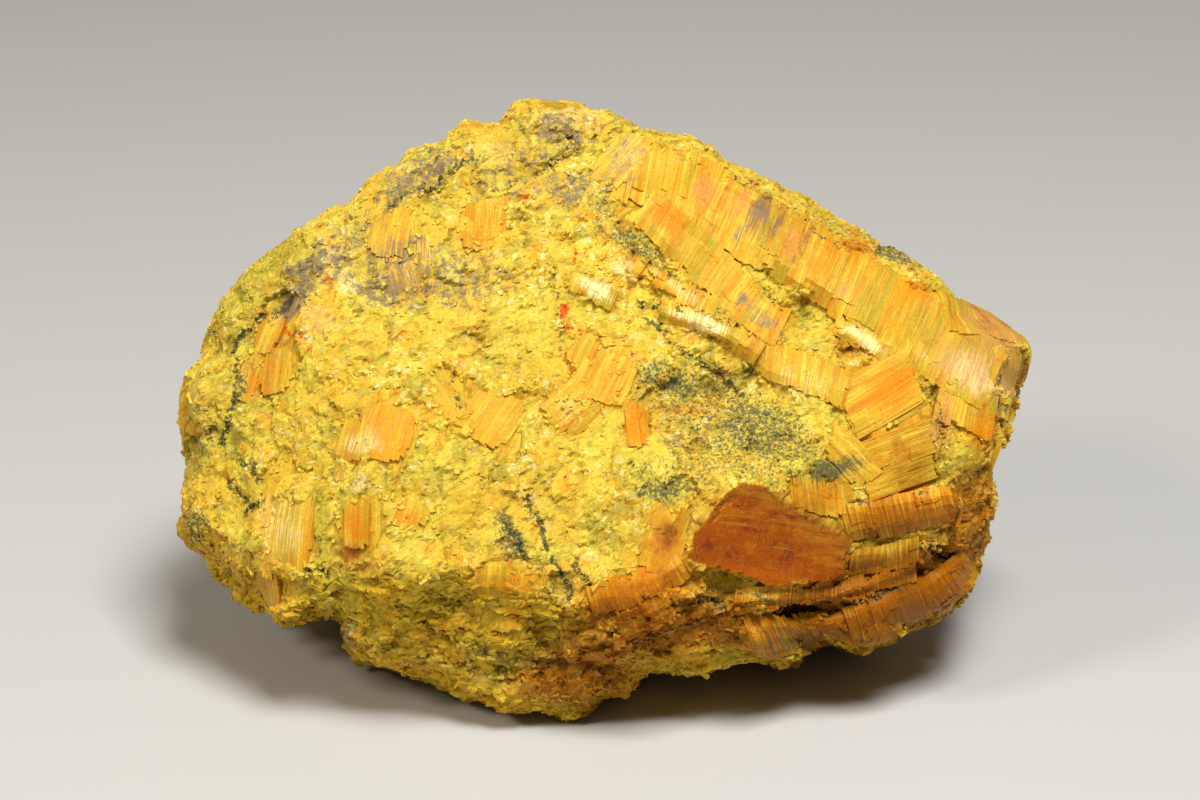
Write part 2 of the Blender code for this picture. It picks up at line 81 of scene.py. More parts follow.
# A band of laths, as in the solid: which eye sees it, the line its middle follows, its width across, the
# width of one lath, and how many degrees the laths lean from square across it
Band = namedtuple("Band", "name eye trace across lath lean")
BANDS = (
    Band("rim band", "front", ((3.2, 31.4), (13.0, 27.6), (20.0, 23.1), (27.3, 19.0), (34.5, 14.4),
                               (41.0, 10.0), (46.4, 6.4), (50.6, 4.2), (53.0, 3.2)), 9.0, 1.3, 10),
    Band("inner band", "front", ((4.8, 26.2), (8.4, 23.2), (14.4, 17.9), (20.0, 12.6), (23.0, 10.6)),
         5.4, 1.2, 8),
    Band("shining rib", "front", ((-4.2, 17.0), (1.2, 14.0)), 2.6, 0.9, 4),
    Band("upper rib", "front", ((3.4, 19.4), (6.5, 16.9), (12.3, 14.3), (17.0, 11.4)), 2.7, 0.9, 4),
    Band("lower rib", "front", ((7.2, 13.3), (12.3, 11.8), (17.2, 9.3), (20.0, 7.2)), 2.9, 0.9, 4),
    Band("right rib", "front", ((29.8, 11.3), (36.6, 7.2)), 2.6, 0.9, 0),
    Band("shining slope", "front", ((20.6, 6.8), (26.0, 4.8), (31.4, 2.4)), 4.6, 1.2, 12),
    Band("lath block", "front", ((34.0, 5.6), (37.0, -1.4)), 10.2, 1.3, 7),
    Band("lath steps", "front", ((37.2, -2.6), (38.8, -10.2)), 9.4, 1.1, 8),
    Band("tip laths", "front", ((43.0, 1.8), (46.4, 0.4), (50.4, -1.0)), 6.0, 1.1, 8),
    Band("upper right ledge", "front", ((31.0, -14.8), (38.2, -13.4), (45.2, -12.2)), 5.2, 1.1, 4),
    Band("middle ledge", "front", ((31.6, -19.8), (36.0, -19.2), (40.6, -18.0)), 3.2, 1.0, -14),
    Band("thin ledge", "front", ((16.8, -24.3), (30.0, -23.4), (40.2, -20.6)), 2.6, 1.0, -10),
    Band("hanging ledge", "front", ((31.6, -28.2), (38.0, -26.0), (43.0, -23.6), (47.8, -20.2)),
         5.4, 1.1, 0),
    Band("slanting ledge", "front", ((18.6, -29.0), (25.0, -29.6), (30.4, -28.4)), 5.6, 0.9, 27),
    Band("brow laths", "front", ((-2.0, -24.8), (4.0, -23.2), (10.0, -19.8)), 4.2, 1.2, 0),
    Band("face laths", "front", ((24.4, -10.4), (31.0, -11.6)), 4.6, 0.9, 16),
    Band("back band", "back", ((-34.0, 6.0), (-18.0, 9.5), (-2.0, 10.0), (14.0, 7.0)), 9.6, 1.4, 4),
    Band("back step", "back", ((-34.0, -3.5), (-18.0, 0.5), (-4.0, 1.0), (10.0, -2.0)), 6.0, 1.2, -6),
    Band("back foot", "back", ((2.0, -16.0), (16.0, -14.0), (30.0, -18.0)), 6.6, 1.3, 12),
    Band("left flank", "left", ((-26.0, 10.0), (-20.0, 2.0), (-18.0, -8.0)), 7.0, 1.2, 0),
    Band("left foot", "left", ((-16.0, -14.0), (-6.0, -17.0)), 6.0, 1.2, 8),
    Band("right end", "right", ((2.0, 6.0), (8.0, -1.0), (11.0, -9.0)), 7.0, 1.2, 0),
    Band("right foot", "right", ((-6.0, -16.0), (4.0, -20.0), (12.0, -22.0)), 6.0, 1.2, 6),
)

# A crystal that shows by itself in front: its middle, its half width across the grain and half length
# along it, the grain's angle above the horizontal in degrees, and how fibrous it is from 0 to 1
Crystal = namedtuple("Crystal", "u v wide high grain fibrous")
CRYSTALS = (
    (-27.8, 23.3, 2.6, 3.6, 88, 0.7), (-22.6, 22.0, 1.6, 3.0, 90, 0.7), (-16.2, 23.9, 2.2, 3.6, 84, 0.8),
    (-42.7, 5.2, 2.4, 2.6, 86, 0.8), (-46.0, 4.4, 1.4, 3.0, 80, 0.7), (-28.5, -2.6, 3.6, 3.6, 80, 0.8),
    (-32.6, -3.9, 2.2, 2.6, 70, 0.9), (-14.9, -1.3, 3.4, 4.0, 55, 1.0), (-4.5, 0.0, 3.0, 3.0, 40, 0.6),
    (0.0, 4.0, 3.6, 3.6, 75, 0.6), (4.1, -1.9, 1.4, 3.0, 84, 1.0), (-41.4, -15.5, 4.4, 6.4, 84, 0.6),
    (-36.6, -15.0, 1.4, 6.6, 88, 0.4), (-32.1, -14.5, 1.8, 3.0, 90, 0.9),
    (-25.2, -13.6, 2.2, 2.0, 70, 0.6), (-17.2, -11.4, 2.4, 3.4, 70, 0.5),
    (-12.0, -22.3, 4.6, 1.9, 86, 0.7), (-12.4, -26.6, 1.6, 2.2, 80, 0.5), (7.8, -17.0, 2.6, 4.0, 70, 0.9),
    (27.2, -11.4, 4.4, 2.8, 80, 0.9), (46.4, -15.6, 3.6, 6.0, 65, 0.4), (49.2, -2.6, 2.8, 2.8, 70, 0.8),
    (45.6, -7.6, 2.2, 2.2, 60, 0.4), (-13.6, 33.6, 3.2, 2.2, 150, 0.45), (1.9, 32.0, 2.6, 4.4, 55, 0.8),
    (5.0, 26.0, 1.8, 2.4, 40, 0.9), (-26.5, 30.6, 3.6, 1.8, 30, 0.5), (-20.0, 13.0, 4.6, 3.0, 85, 0.4),
    (-10.0, 8.0, 4.4, 4.4, 100, 0.3), (18.6, -29.6, 1.6, 2.2, 90, 0.4), (10.0, -29.0, 4.0, 2.0, 20, 0.4),
    (-25.0, -24.0, 4.0, 2.2, 80, 0.3),
)
CRYSTAL_SPACING = 4.6  # between the crystals that fill the rest of the skin
CRYSTAL_TRIES = 9000  # places tried for their middles
CRYSTAL_GRAIN = (88, 26)  # the mean of their grain's angle and its spread, in degrees
GRAIN_DRIFT = 1.1  # how far a crystal's border wanders

# The stained patches in front, by stain. Each has its middle, its half width and half height, its turn in
# degrees and its strength
Patch = namedtuple("Patch", "u v wide high turn strong")
PATCHES = {
    "grey": (  # teal-grey mottling, thickest right of the middle
        (6.5, 4.5, 3.4, 2.2, -20, 0.78), (9.7, 3.0, 2.4, 1.8, -20, 0.9),
        (17.0, -2.0, 14.0, 7.4, -28, 0.62), (20.1, -2.6, 8.0, 4.4, -20, 0.82),
        (29.8, -7.5, 4.6, 1.5, 12, 1.0), (25.2, -5.2, 4.0, 2.4, -10, 0.7),
        (7.8, -10.4, 4.2, 2.2, 8, 0.85), (4.5, -7.8, 2.6, 1.8, 0, 0.6), (11.0, -7.4, 5.0, 4.0, 0, 0.6),
        (3.9, 21.4, 4.4, 2.2, -38, 0.75), (36.9, 20.4, 3.4, 1.3, -33, 0.9),
        (-12.3, -16.2, 1.8, 4.2, 28, 0.85), (-6.5, -22.4, 2.6, 5.0, 30, 0.55),
        (-52.8, -14.6, 2.0, 3.0, 0, 0.8), (-52.2, -2.6, 2.4, 5.0, 8, 0.5),
        (-26.5, 29.1, 5.6, 2.0, 40, 0.55), (-17.0, 31.2, 3.6, 1.4, -30, 0.5),
        (-0.6, 25.4, 1.4, 3.4, 0, 0.65), (-1.9, 36.9, 3.0, 0.9, 0, 0.4), (-26.5, -25.6, 3.2, 1.4, 0, 0.5),
        (-17.5, -30.6, 5.0, 1.4, 0, 0.5), (23.9, -29.8, 4.0, 2.6, 0, 0.6),
        (-36.6, -15.0, 1.6, 7.4, 0, 0.25), (-46.6, -18.0, 5.0, 1.6, -30, 0.4),
        (-33.0, 22.0, 7.0, 2.0, 40, 0.42),
    ),
    "purple": (  # purple-grey smudges of the upper left, the crown and the rim
        (-24.0, 30.6, 7.0, 2.6, 35, 0.75), (-24.0, 18.0, 15.0, 5.0, -8, 0.62),
        (-44.0, 8.0, 5.0, 5.0, 0, 0.36), (-10.0, 30.0, 8.0, 5.0, 0, 0.55),
        (-6.0, 36.4, 6.0, 2.6, 0, 0.62), (2.6, 32.0, 3.0, 4.0, 0, 0.6), (-35.0, 20.8, 9.0, 3.0, 40, 0.6),
        (-38.2, 18.8, 4.4, 2.0, 20, 0.8), (-40.2, 14.6, 1.7, 3.4, -35, 0.9),
        (-28.5, 15.5, 4.6, 2.6, -10, 0.75), (-21.4, 19.4, 8.0, 1.9, -12, 0.6),
        (-18.1, 16.0, 4.0, 1.5, 12, 0.65), (-5.8, 36.0, 4.0, 2.0, -20, 0.8),
        (-9.0, 33.4, 3.6, 1.6, -40, 0.55), (-3.9, 28.5, 3.4, 2.6, 30, 0.75),
        (0.6, 30.0, 3.0, 1.8, 40, 0.55), (-16.8, 33.6, 1.4, 2.0, 30, 0.5),
        (-34.3, 22.6, 4.0, 1.8, 30, 0.45), (19.9, 25.8, 1.3, 2.6, -30, 0.8),
        (22.3, 24.0, 0.8, 2.2, -30, 0.8), (17.2, 22.6, 0.8, 2.2, -30, 0.9),
        (25.7, 21.7, 0.6, 2.8, -30, 0.7), (18.1, 14.6, 1.8, 1.2, -30, 0.75),
        (20.6, 11.6, 2.4, 1.6, -40, 0.75), (31.4, 20.0, 1.6, 0.9, 20, 0.75),
        (-11.6, -32.2, 8.4, 1.2, -8, 0.65), (-33.2, -29.0, 1.8, 2.0, 20, 0.8),
        (-52.0, -2.4, 1.4, 3.0, 0, 0.5), (-5.6, 2.4, 1.4, 1.4, 0, 0.3), (-13.0, 6.0, 5.0, 5.0, 0, 0.32),
        (8.6, -4.2, 1.5, 1.3, 0, 0.8),
    ),
    "red": (  # red-brown realgar, round the large cleaved face above all
        (21.0, -16.4, 9.8, 5.2, -6, 1.0), (30.0, -17.4, 2.4, 2.6, 0, 0.6),
        (7.8, -17.2, 2.2, 3.4, -20, 0.6), (-33.0, -18.4, 2.4, 0.9, 5, 0.6),
        (8.2, 0.9, 2.2, 1.3, -30, 0.4), (38.4, -12.9, 6.0, 2.2, 8, 0.30), (5.0, -22.6, 6.0, 2.4, 20, 0.5),
        (-4.0, -29.6, 3.4, 1.2, 15, 0.4), (-9.0, -36.0, 4.0, 1.0, 0, 0.45),
        (-45.4, -18.4, 2.6, 0.6, -15, 0.6), (15.4, -29.0, 1.2, 2.0, 0, 0.5),
        (36.8, -4.0, 1.0, 3.4, 60, 0.45), (49.4, 11.6, 3.0, 1.2, -40, 0.4),
    ),
    "spark": (  # bright orange-red realgar streaks
        (-10.4, 27.2, 0.9, 0.8, 0, 0.8), (-5.3, 12.6, 0.7, 1.8, -15, 0.95),
        (-4.2, 10.6, 1.4, 0.6, 0, 0.8), (-4.6, 5.8, 0.7, 1.9, 15, 0.7), (-38.8, 8.0, 2.4, 1.2, -35, 0.62),
        (-40.6, 10.0, 1.6, 1.8, 0, 0.55), (-35.6, 16.4, 1.6, 2.4, 10, 0.58),
        (-34.3, 20.2, 1.2, 0.6, 30, 0.6), (-2.6, 20.6, 3.0, 0.5, 45, 0.6),
        (-3.9, -8.6, 3.4, 0.7, 10, 0.5), (5.0, -20.7, 1.5, 0.8, 20, 0.7), (46.0, -12.0, 0.5, 0.5, 0, 0.8),
        (43.5, 0.0, 1.2, 2.8, -10, 0.5),
    ),
    "warm": (  # orange laths and crystals, and the ledges at the lower right, whose orange-brown there is partly painted shade
        (8.3, 24.6, 2.6, 1.9, -42, 1.0), (13.6, 18.2, 7.0, 2.8, -42, 0.42),
        (37.0, 2.6, 3.2, 4.6, -52, 0.85), (38.0, -6.0, 6.0, 5.0, 0, 0.5),
        (12.8, 27.6, 1.8, 3.0, -30, 0.95), (18.0, 27.4, 1.0, 2.6, -30, 0.9),
        (15.6, 25.4, 0.9, 3.0, -30, 0.7), (24.2, 21.8, 1.4, 3.4, -30, 0.95),
        (28.4, 19.4, 1.4, 4.0, -30, 0.85), (4.1, -1.9, 1.5, 3.0, -5, 1.0),
        (-32.1, -14.5, 1.6, 2.9, 0, 0.9), (-25.2, -13.6, 1.6, 1.4, -20, 0.7),
        (-11.6, -22.3, 3.8, 1.5, 0, 0.65), (-12.2, -26.6, 1.2, 1.6, 0, 0.7),
        (-22.0, -18.0, 3.0, 1.6, 0, 0.5), (-42.7, 5.2, 2.0, 2.2, 0, 0.55), (-45.3, 2.8, 0.9, 2.0, 0, 0.8),
        (-28.5, -2.6, 4.0, 3.2, 0, 0.45), (-16.2, 23.9, 2.0, 3.4, 0, 0.6),
        (-27.8, 23.3, 2.0, 3.0, 0, 0.4), (-17.6, 10.0, 5.0, 2.4, 0, 0.4), (0.0, 4.0, 4.6, 3.8, 0, 0.6),
        (8.0, -17.0, 3.0, 4.0, -20, 0.7), (38.2, -12.9, 7.4, 2.8, 8, 0.85),
        (33.0, -24.8, 16.0, 6.4, 18, 0.55), (47.0, -15.0, 3.6, 8.0, 0, 0.7),
        (49.2, -2.6, 2.4, 2.4, 0, 0.8), (4.0, -24.0, 9.0, 4.0, 15, 0.85),
        (42.0, -23.0, 9.0, 5.0, 25, 0.6), (27.4, -11.2, 3.6, 2.2, 0, 0.7),
        (22.0, 23.0, 16.0, 4.6, -27, 0.42), (12.6, 26.2, 4.0, 3.0, -25, 0.45),
        (44.0, 8.0, 12.0, 4.0, -30, 0.36), (-4.0, -34.0, 9.0, 4.0, 10, 0.8),
        (8.0, -28.4, 12.0, 4.0, 10, 0.8), (-40.0, -25.0, 10.0, 3.0, -20, 0.3),
        (40.2, 15.8, 2.2, 1.2, -30, 1.0), (32.6, 21.4, 3.0, 1.6, -35, 0.8),
        (-36.8, 12.6, 3.4, 4.2, -35, 0.45),
    ),
    "pale": (  # straw-coloured plates that gleam: partly a paler colour, partly painted highlights and glints
        (-1.3, 15.6, 3.0, 1.5, -28, 1.0), (2.2, 18.4, 2.0, 1.4, -30, 0.8),
        (12.3, 11.4, 4.2, 1.4, -18, 1.0), (9.6, 15.8, 5.0, 1.2, -32, 0.6),
        (33.2, 9.3, 3.6, 1.2, -32, 1.0), (25.2, 3.2, 5.0, 3.0, -15, 0.55),
        (41.4, 5.8, 2.4, 1.2, -40, 0.8), (-33.0, 16.2, 1.4, 1.2, 0, 0.9),
        (-34.4, 18.6, 2.2, 3.2, 10, 0.7), (-37.2, 11.8, 3.2, 3.0, -40, 0.62),
        (-38.6, 9.1, 1.2, 0.9, -30, 0.9), (-31.0, -3.9, 4.0, 1.5, 15, 0.8),
        (-5.0, 0.0, 2.6, 2.2, -40, 0.6), (-31.7, -9.5, 1.4, 1.2, 0, 0.8), (-1.9, -18.8, 1.6, 1.2, 0, 0.7),
        (-22.6, -22.4, 1.8, 1.0, 0, 0.6), (-13.6, 33.4, 3.4, 2.4, -20, 0.6),
        (2.6, 32.6, 2.4, 4.2, -35, 0.6), (-26.5, 31.2, 3.2, 1.3, 25, 0.55),
        (-42.0, -15.0, 4.0, 5.0, 0, 0.62), (48.0, 5.0, 5.6, 2.8, -30, 1.0),
        (-4.0, 38.4, 6.0, 2.4, 0, 0.6), (10.0, -29.4, 8.0, 2.4, 10, 0.5),
        (-2.0, -32.4, 6.0, 2.0, 20, 0.5), (15.2, -28.6, 1.6, 2.2, 0, 0.75),
        (28.0, 12.0, 9.0, 2.4, -32, 0.25),
    ),
    "brown": (  # brown ledges, their brown partly painted shade low at the front, and the brown laths of the rim
        (19.9, 25.8, 1.3, 2.8, -30, 0.8), (22.3, 24.0, 0.8, 2.4, -30, 0.8),
        (25.7, 21.7, 0.6, 2.8, -30, 0.8), (34.0, -24.4, 17.0, 6.0, 18, 0.85),
        (38.0, -14.0, 8.0, 3.0, 6, 0.6), (47.0, -15.0, 4.0, 9.0, 0, 0.55),
        (16.0, -27.0, 12.0, 4.0, -5, 0.65), (2.0, -28.4, 13.0, 4.4, 12, 0.6),
        (49.0, -12.0, 3.0, 9.0, 0, 0.5), (-3.0, -36.0, 9.0, 4.0, 0, 0.5),
        (-46.0, -20.0, 8.0, 2.4, -25, 0.35), (-33.6, -20.4, 3.4, 1.0, 5, 0.5),
        (26.0, -26.0, 10.0, 4.0, 0, 0.6), (42.0, -5.0, 4.0, 6.0, 0, 0.35),
        (32.6, 21.4, 3.0, 1.6, -35, 0.4),
    ),
    "olive": (  # greener crystals
        (27.0, -29.6, 4.0, 4.0, 0, 0.8), (30.0, 17.4, 10.0, 4.0, -27, 0.35),
        (-49.0, -3.0, 4.0, 16.0, 0, 0.45), (-44.0, 18.0, 4.0, 9.0, -40, 0.6),
        (-32.0, -27.0, 16.0, 4.0, -18, 0.36), (-12.0, -31.0, 14.0, 4.0, -6, 0.36),
        (-36.6, -14.0, 1.8, 8.0, 0, 0.7), (-24.0, -8.0, 7.0, 5.0, 0, 0.35),
        (-12.0, 2.0, 6.0, 10.0, 0, 0.35), (20.9, 23.8, 1.1, 3.9, -30, 1.0),
        (11.0, 30.6, 1.2, 2.6, -30, 0.7), (34.0, 12.6, 3.0, 3.4, -25, 0.6),
        (40.4, 11.4, 3.6, 2.6, -30, 0.6), (9.0, 20.6, 2.0, 3.0, -40, 0.4),
    ),
    "tan": (  # dull pinkish laths near the rim's end
        (12.8, 28.4, 1.6, 2.4, -30, 0.9), (18.0, 27.4, 0.9, 2.4, -30, 0.9),
        (24.2, 21.7, 1.2, 2.8, -30, 0.8), (31.0, 15.0, 2.0, 2.0, -30, 0.7),
        (47.6, 6.0, 6.5, 3.0, -30, 0.75), (50.0, 11.0, 5.0, 2.4, -35, 0.95),
        (53.4, 4.0, 2.4, 4.0, 0, 0.8), (43.6, -1.4, 1.6, 4.0, -10, 0.9), (-28.5, -1.6, 3.0, 3.0, 0, 0.5),
        (7.6, -17.0, 3.0, 3.6, -20, 0.5),
    ),
}
STAINS = tuple(PATCHES)

# A vein or a seam: the line that it follows, how far its stain reaches, how deep it is cut, and how dark
Vein = namedtuple("Vein", "trace wide deep dark")
VEINS = (
    Vein(((-40.8, 14.2), (-44.4, 11.6), (-46.8, 10.4), (-47.8, 7.8), (-47.2, 3.2), (-48.3, 0.0),
          (-49.5, -4.0)), 1.0, 0.3, 0.85),
    Vein(((-16.2, 28.1), (-11.6, 29.4), (-7.8, 31.1), (-5.2, 33.0), (-3.9, 35.5)), 0.6, 0.3, 0.6),
    Vein(((-29.1, 25.2), (-26.5, 27.8), (-21.4, 29.1), (-19.4, 31.7), (-16.2, 32.6)), 0.9, 0.2, 0.7),
    Vein(((-19.4, 5.8), (-19.8, 3.2), (-18.8, 0.0)), 0.6, 0.2, 0.7),
    Vein(((-6.7, 18.8), (-6.3, 14.2), (-5.8, 10.4), (-6.1, 6.5)), 0.7, 0.3, 0.6),
    Vein(((-46.8, -6.7), (-44.4, -9.1)), 0.7, 0.3, 0.9),
    Vein(((-48.8, -9.1), (-47.2, -11.6), (-44.9, -12.3), (-47.0, -13.6)), 0.8, 0.3, 0.9),
    Vein(((-35.2, -7.8), (-35.2, -23.3)), 0.8, 0.15, 0.3),
    Vein(((-10.0, -10.4), (-9.1, -13.6), (-7.8, -16.8), (-5.8, -21.4), (-4.5, -24.6)), 0.8, 0.2, 0.95),
    Vein(((-13.6, -13.6), (-11.6, -16.2), (-10.4, -19.4)), 0.8, 0.2, 0.9),
    Vein(((-3.9, -19.4), (-1.9, -23.3)), 0.8, 0.2, 0.9),
    Vein(((1.9, 25.2), (0.0, 21.4), (-0.6, 22.6)), 0.6, 0.2, 0.6),
    Vein(((4.5, 13.6), (6.5, 11.0), (9.7, 8.4), (14.2, 5.2), (16.8, 3.2), (18.1, 1.3)), 0.8, 0.3, 0.8),
    Vein(((3.2, 20.7), (7.1, 18.1), (11.0, 15.5), (16.8, 11.6)), 0.5, 0.4, 0.6),
    Vein(((6.5, 13.6), (12.3, 12.6), (17.5, 11.0)), 0.5, 0.4, 0.7),
    Vein(((16.8, 19.2), (20.7, 15.5), (22.6, 12.9)), 0.7, 0.3, 0.6),
    Vein(((8.0, 33.2), (12.7, 32.4), (17.6, 29.9), (21.8, 27.4), (27.2, 23.4), (30.8, 20.8)), 0.5, 0.2, 0.6),
    Vein(((31.7, -12.3), (38.2, -11.6), (43.4, -10.0)), 0.7, 0.5, 0.8),
    Vein(((17.5, -23.6), (27.2, -26.1), (34.3, -24.6), (38.8, -23.0)), 0.6, 0.5, 0.8),
    Vein(((42.7, 4.9), (42.7, 1.3), (44.0, -1.9), (43.4, -6.5)), 0.6, 0.5, 0.6),
    Vein(((-16.2, -8.4), (-14.2, -9.1)), 0.6, 0.2, 0.8),
    Vein(((-27.8, 0.6), (-23.9, 0.9)), 0.4, 0.4, 0.7),
    Vein(((-32.6, 0.0), (-32.0, -1.6)), 0.5, 0.2, 0.6),
    Vein(((-30.6, -22.4), (-22.0, -24.8), (-14.0, -24.4)), 0.7, 0.3, 0.4),
    Vein(((14.0, -15.0), (16.6, -10.6)), 0.4, 0.3, 0.3),
    Vein(((-24.4, -31.4), (-16.0, -33.6), (-8.0, -34.6)), 0.7, 0.4, 0.5),
    Vein(((0.0, -31.0), (8.0, -28.6), (14.0, -27.0)), 0.6, 0.5, 0.6),
    Vein(((41.8, -17.4), (43.6, -18.2), (45.0, -19.2)), 1.6, 1.2, 0.2),
    Vein(((39.2, -20.0), (42.2, -21.0)), 0.8, 0.8, 0.2),
    Vein(((22.4, -26.6), (24.4, -26.4), (26.8, -26.0)), 1.2, 1.2, 0.2),
    Vein(((13.0, -24.6), (15.2, -25.2)), 0.9, 0.8, 0.9),
    Vein(((-39.6, -20.6), (-35.8, -21.6)), 0.8, 0.8, 0.8),
)

# The large cleaved face in front: its outline, and the run of its fine streaks
CLEAVED_OUTLINE = ((17.7, -9.1), (20.5, -9.8), (22.8, -11.6), (24.3, -12.9), (27.2, -14.5), (31.6, -16.4),
                   (31.3, -18.9), (30.0, -22.0), (25.9, -22.2), (21.5, -22.4), (15.1, -21.1), (10.7, -19.2),
                   (11.6, -16.0), (14.2, -12.6))
CLEAVED_GRAIN = -7.0
CLEAVED_SLACK = 0.6  # how far at most the skin is moved on to the face's plane, up or down

# The last key is painted shade, for bars that lie low
BAR_KEYS = ("left", "right", "top", "depth", "origin", "fibrous", "tint", "hollow")
LATH_SECTIONS = 5


class Eye:
    """A viewer round the stone."""

    def __init__(self, azimuth, elevation):
        turn, lift = math.radians(azimuth), math.radians(elevation)
        right = Vector((math.cos(turn), math.sin(turn), 0.0))
        towards = Vector((math.sin(turn) * math.cos(lift), -math.cos(turn) * math.cos(lift), math.sin(lift)))
        self.axes = np.array((right, towards.cross(right), towards))

    def seen(self, points):
        """Where the eye sees the points, as (u, v) on the plane through the stone's middle."""
        rel = (points - MIDDLE) @ self.axes.T
        return rel[:, :2] / (1.0 - rel[:, 2:] / EYE_DISTANCE)

    def facing(self, normals):
        return normals @ self.axes[2]

    def direction(self, u, v):
        """A (u, v) direction in the plane of view, as a direction in space."""
        return np.outer(u, self.axes[0]) + np.outer(v, self.axes[1])


EYES = {
    "front": Eye(0, EYE_ELEVATION),
    "right": Eye(90, 10),
    "back": Eye(180, 12),
    "left": Eye(270, 10),
}


def unit(vectors):
    return vectors / np.maximum(np.linalg.norm(vectors, axis=1, keepdims=True), 1e-9)


def smooth_step(low, high, value):
    share = np.clip((value - low) / (high - low), 0.0, 1.0)
    return share * share * (3.0 - 2.0 * share)


def swell(points, wavelength, seed=0.0):
    """Smooth noise of that wavelength at each point, from about -1 to 1."""
    shift = Vector((seed * 17.3, seed * 5.1, -seed * 9.7))
    return np.array([noise.noise(Vector(p) / wavelength + shift) for p in points])


def drift(points, wavelength, height, seed=0.0):
    """The points moved about by smooth noise."""
    shift = Vector((seed * 3.7, -seed * 7.9, seed * 11.3))
    return points + np.array([noise.noise_vector(Vector(p) / wavelength + shift) for p in points]) * height


def along_trace(seen, trace):
    """For each (u, v): its distance along a traced line, its signed distance off it, and the heading."""
    best = np.full(len(seen), 1e9)
    run = np.zeros(len(seen))
    off = np.zeros(len(seen))
    heading = np.zeros((len(seen), 2))
    start = 0.0
    for a, b in zip(np.array(trace[:-1]), np.array(trace[1:])):
        side = b - a
        length = np.hypot(*side)
        share = np.clip((seen - a) @ side / length**2, 0.0, 1.0)
        rel = seen - (a + share[:, None] * side)
        far = np.hypot(rel[:, 0], rel[:, 1])
        near = far < best
        best[near] = far[near]
        run[near] = start + share[near] * length
        off[near] = (side[0] * rel[near, 1] - side[1] * rel[near, 0]) / length
        heading[near] = side / length
        start += length
    return best, run, off, heading


def refined_skin(node):
    """The solid's skin on an even fine grid, with the edges of its facets worn."""
    mesh = node.data.copy()
    bm = bmesh.new()
    bm.from_mesh(mesh)
    bmesh.ops.remove_doubles(bm, verts=bm.verts, dist=0.01 * MM)
    bm.to_mesh(mesh)
    bm.free()
    obj = bpy.data.objects.new("skin", mesh)
    bpy.context.scene.collection.objects.link(obj)
    grid = obj.modifiers.new("even grid", "REMESH")
    grid.mode = "VOXEL"
    grid.voxel_size = SKIN_GRID * MM
    graph = bpy.context.evaluated_depsgraph_get()
    skin = bpy.data.meshes.new_from_object(obj.evaluated_get(graph))
    skin.materials.clear()
    bpy.data.objects.remove(obj)
    bm = bmesh.new()
    bm.from_mesh(skin)
    for _ in range(3):
        bmesh.ops.smooth_vert(bm, verts=bm.verts, factor=0.5, use_axis_x=True, use_axis_y=True,
                              use_axis_z=True)
    bm.to_mesh(skin)
    bm.free()
    return skin


def places_and_normals(mesh):
    """A mesh's vertices in millimetres, and their normals."""
    places = np.empty(len(mesh.vertices) * 3)
    mesh.vertices.foreach_get("co", places)
    normals = np.empty(len(mesh.vertices) * 3)
    mesh.vertex_normals.foreach_get("vector", normals)
    return places.reshape(-1, 3) / MM, normals.reshape(-1, 3)


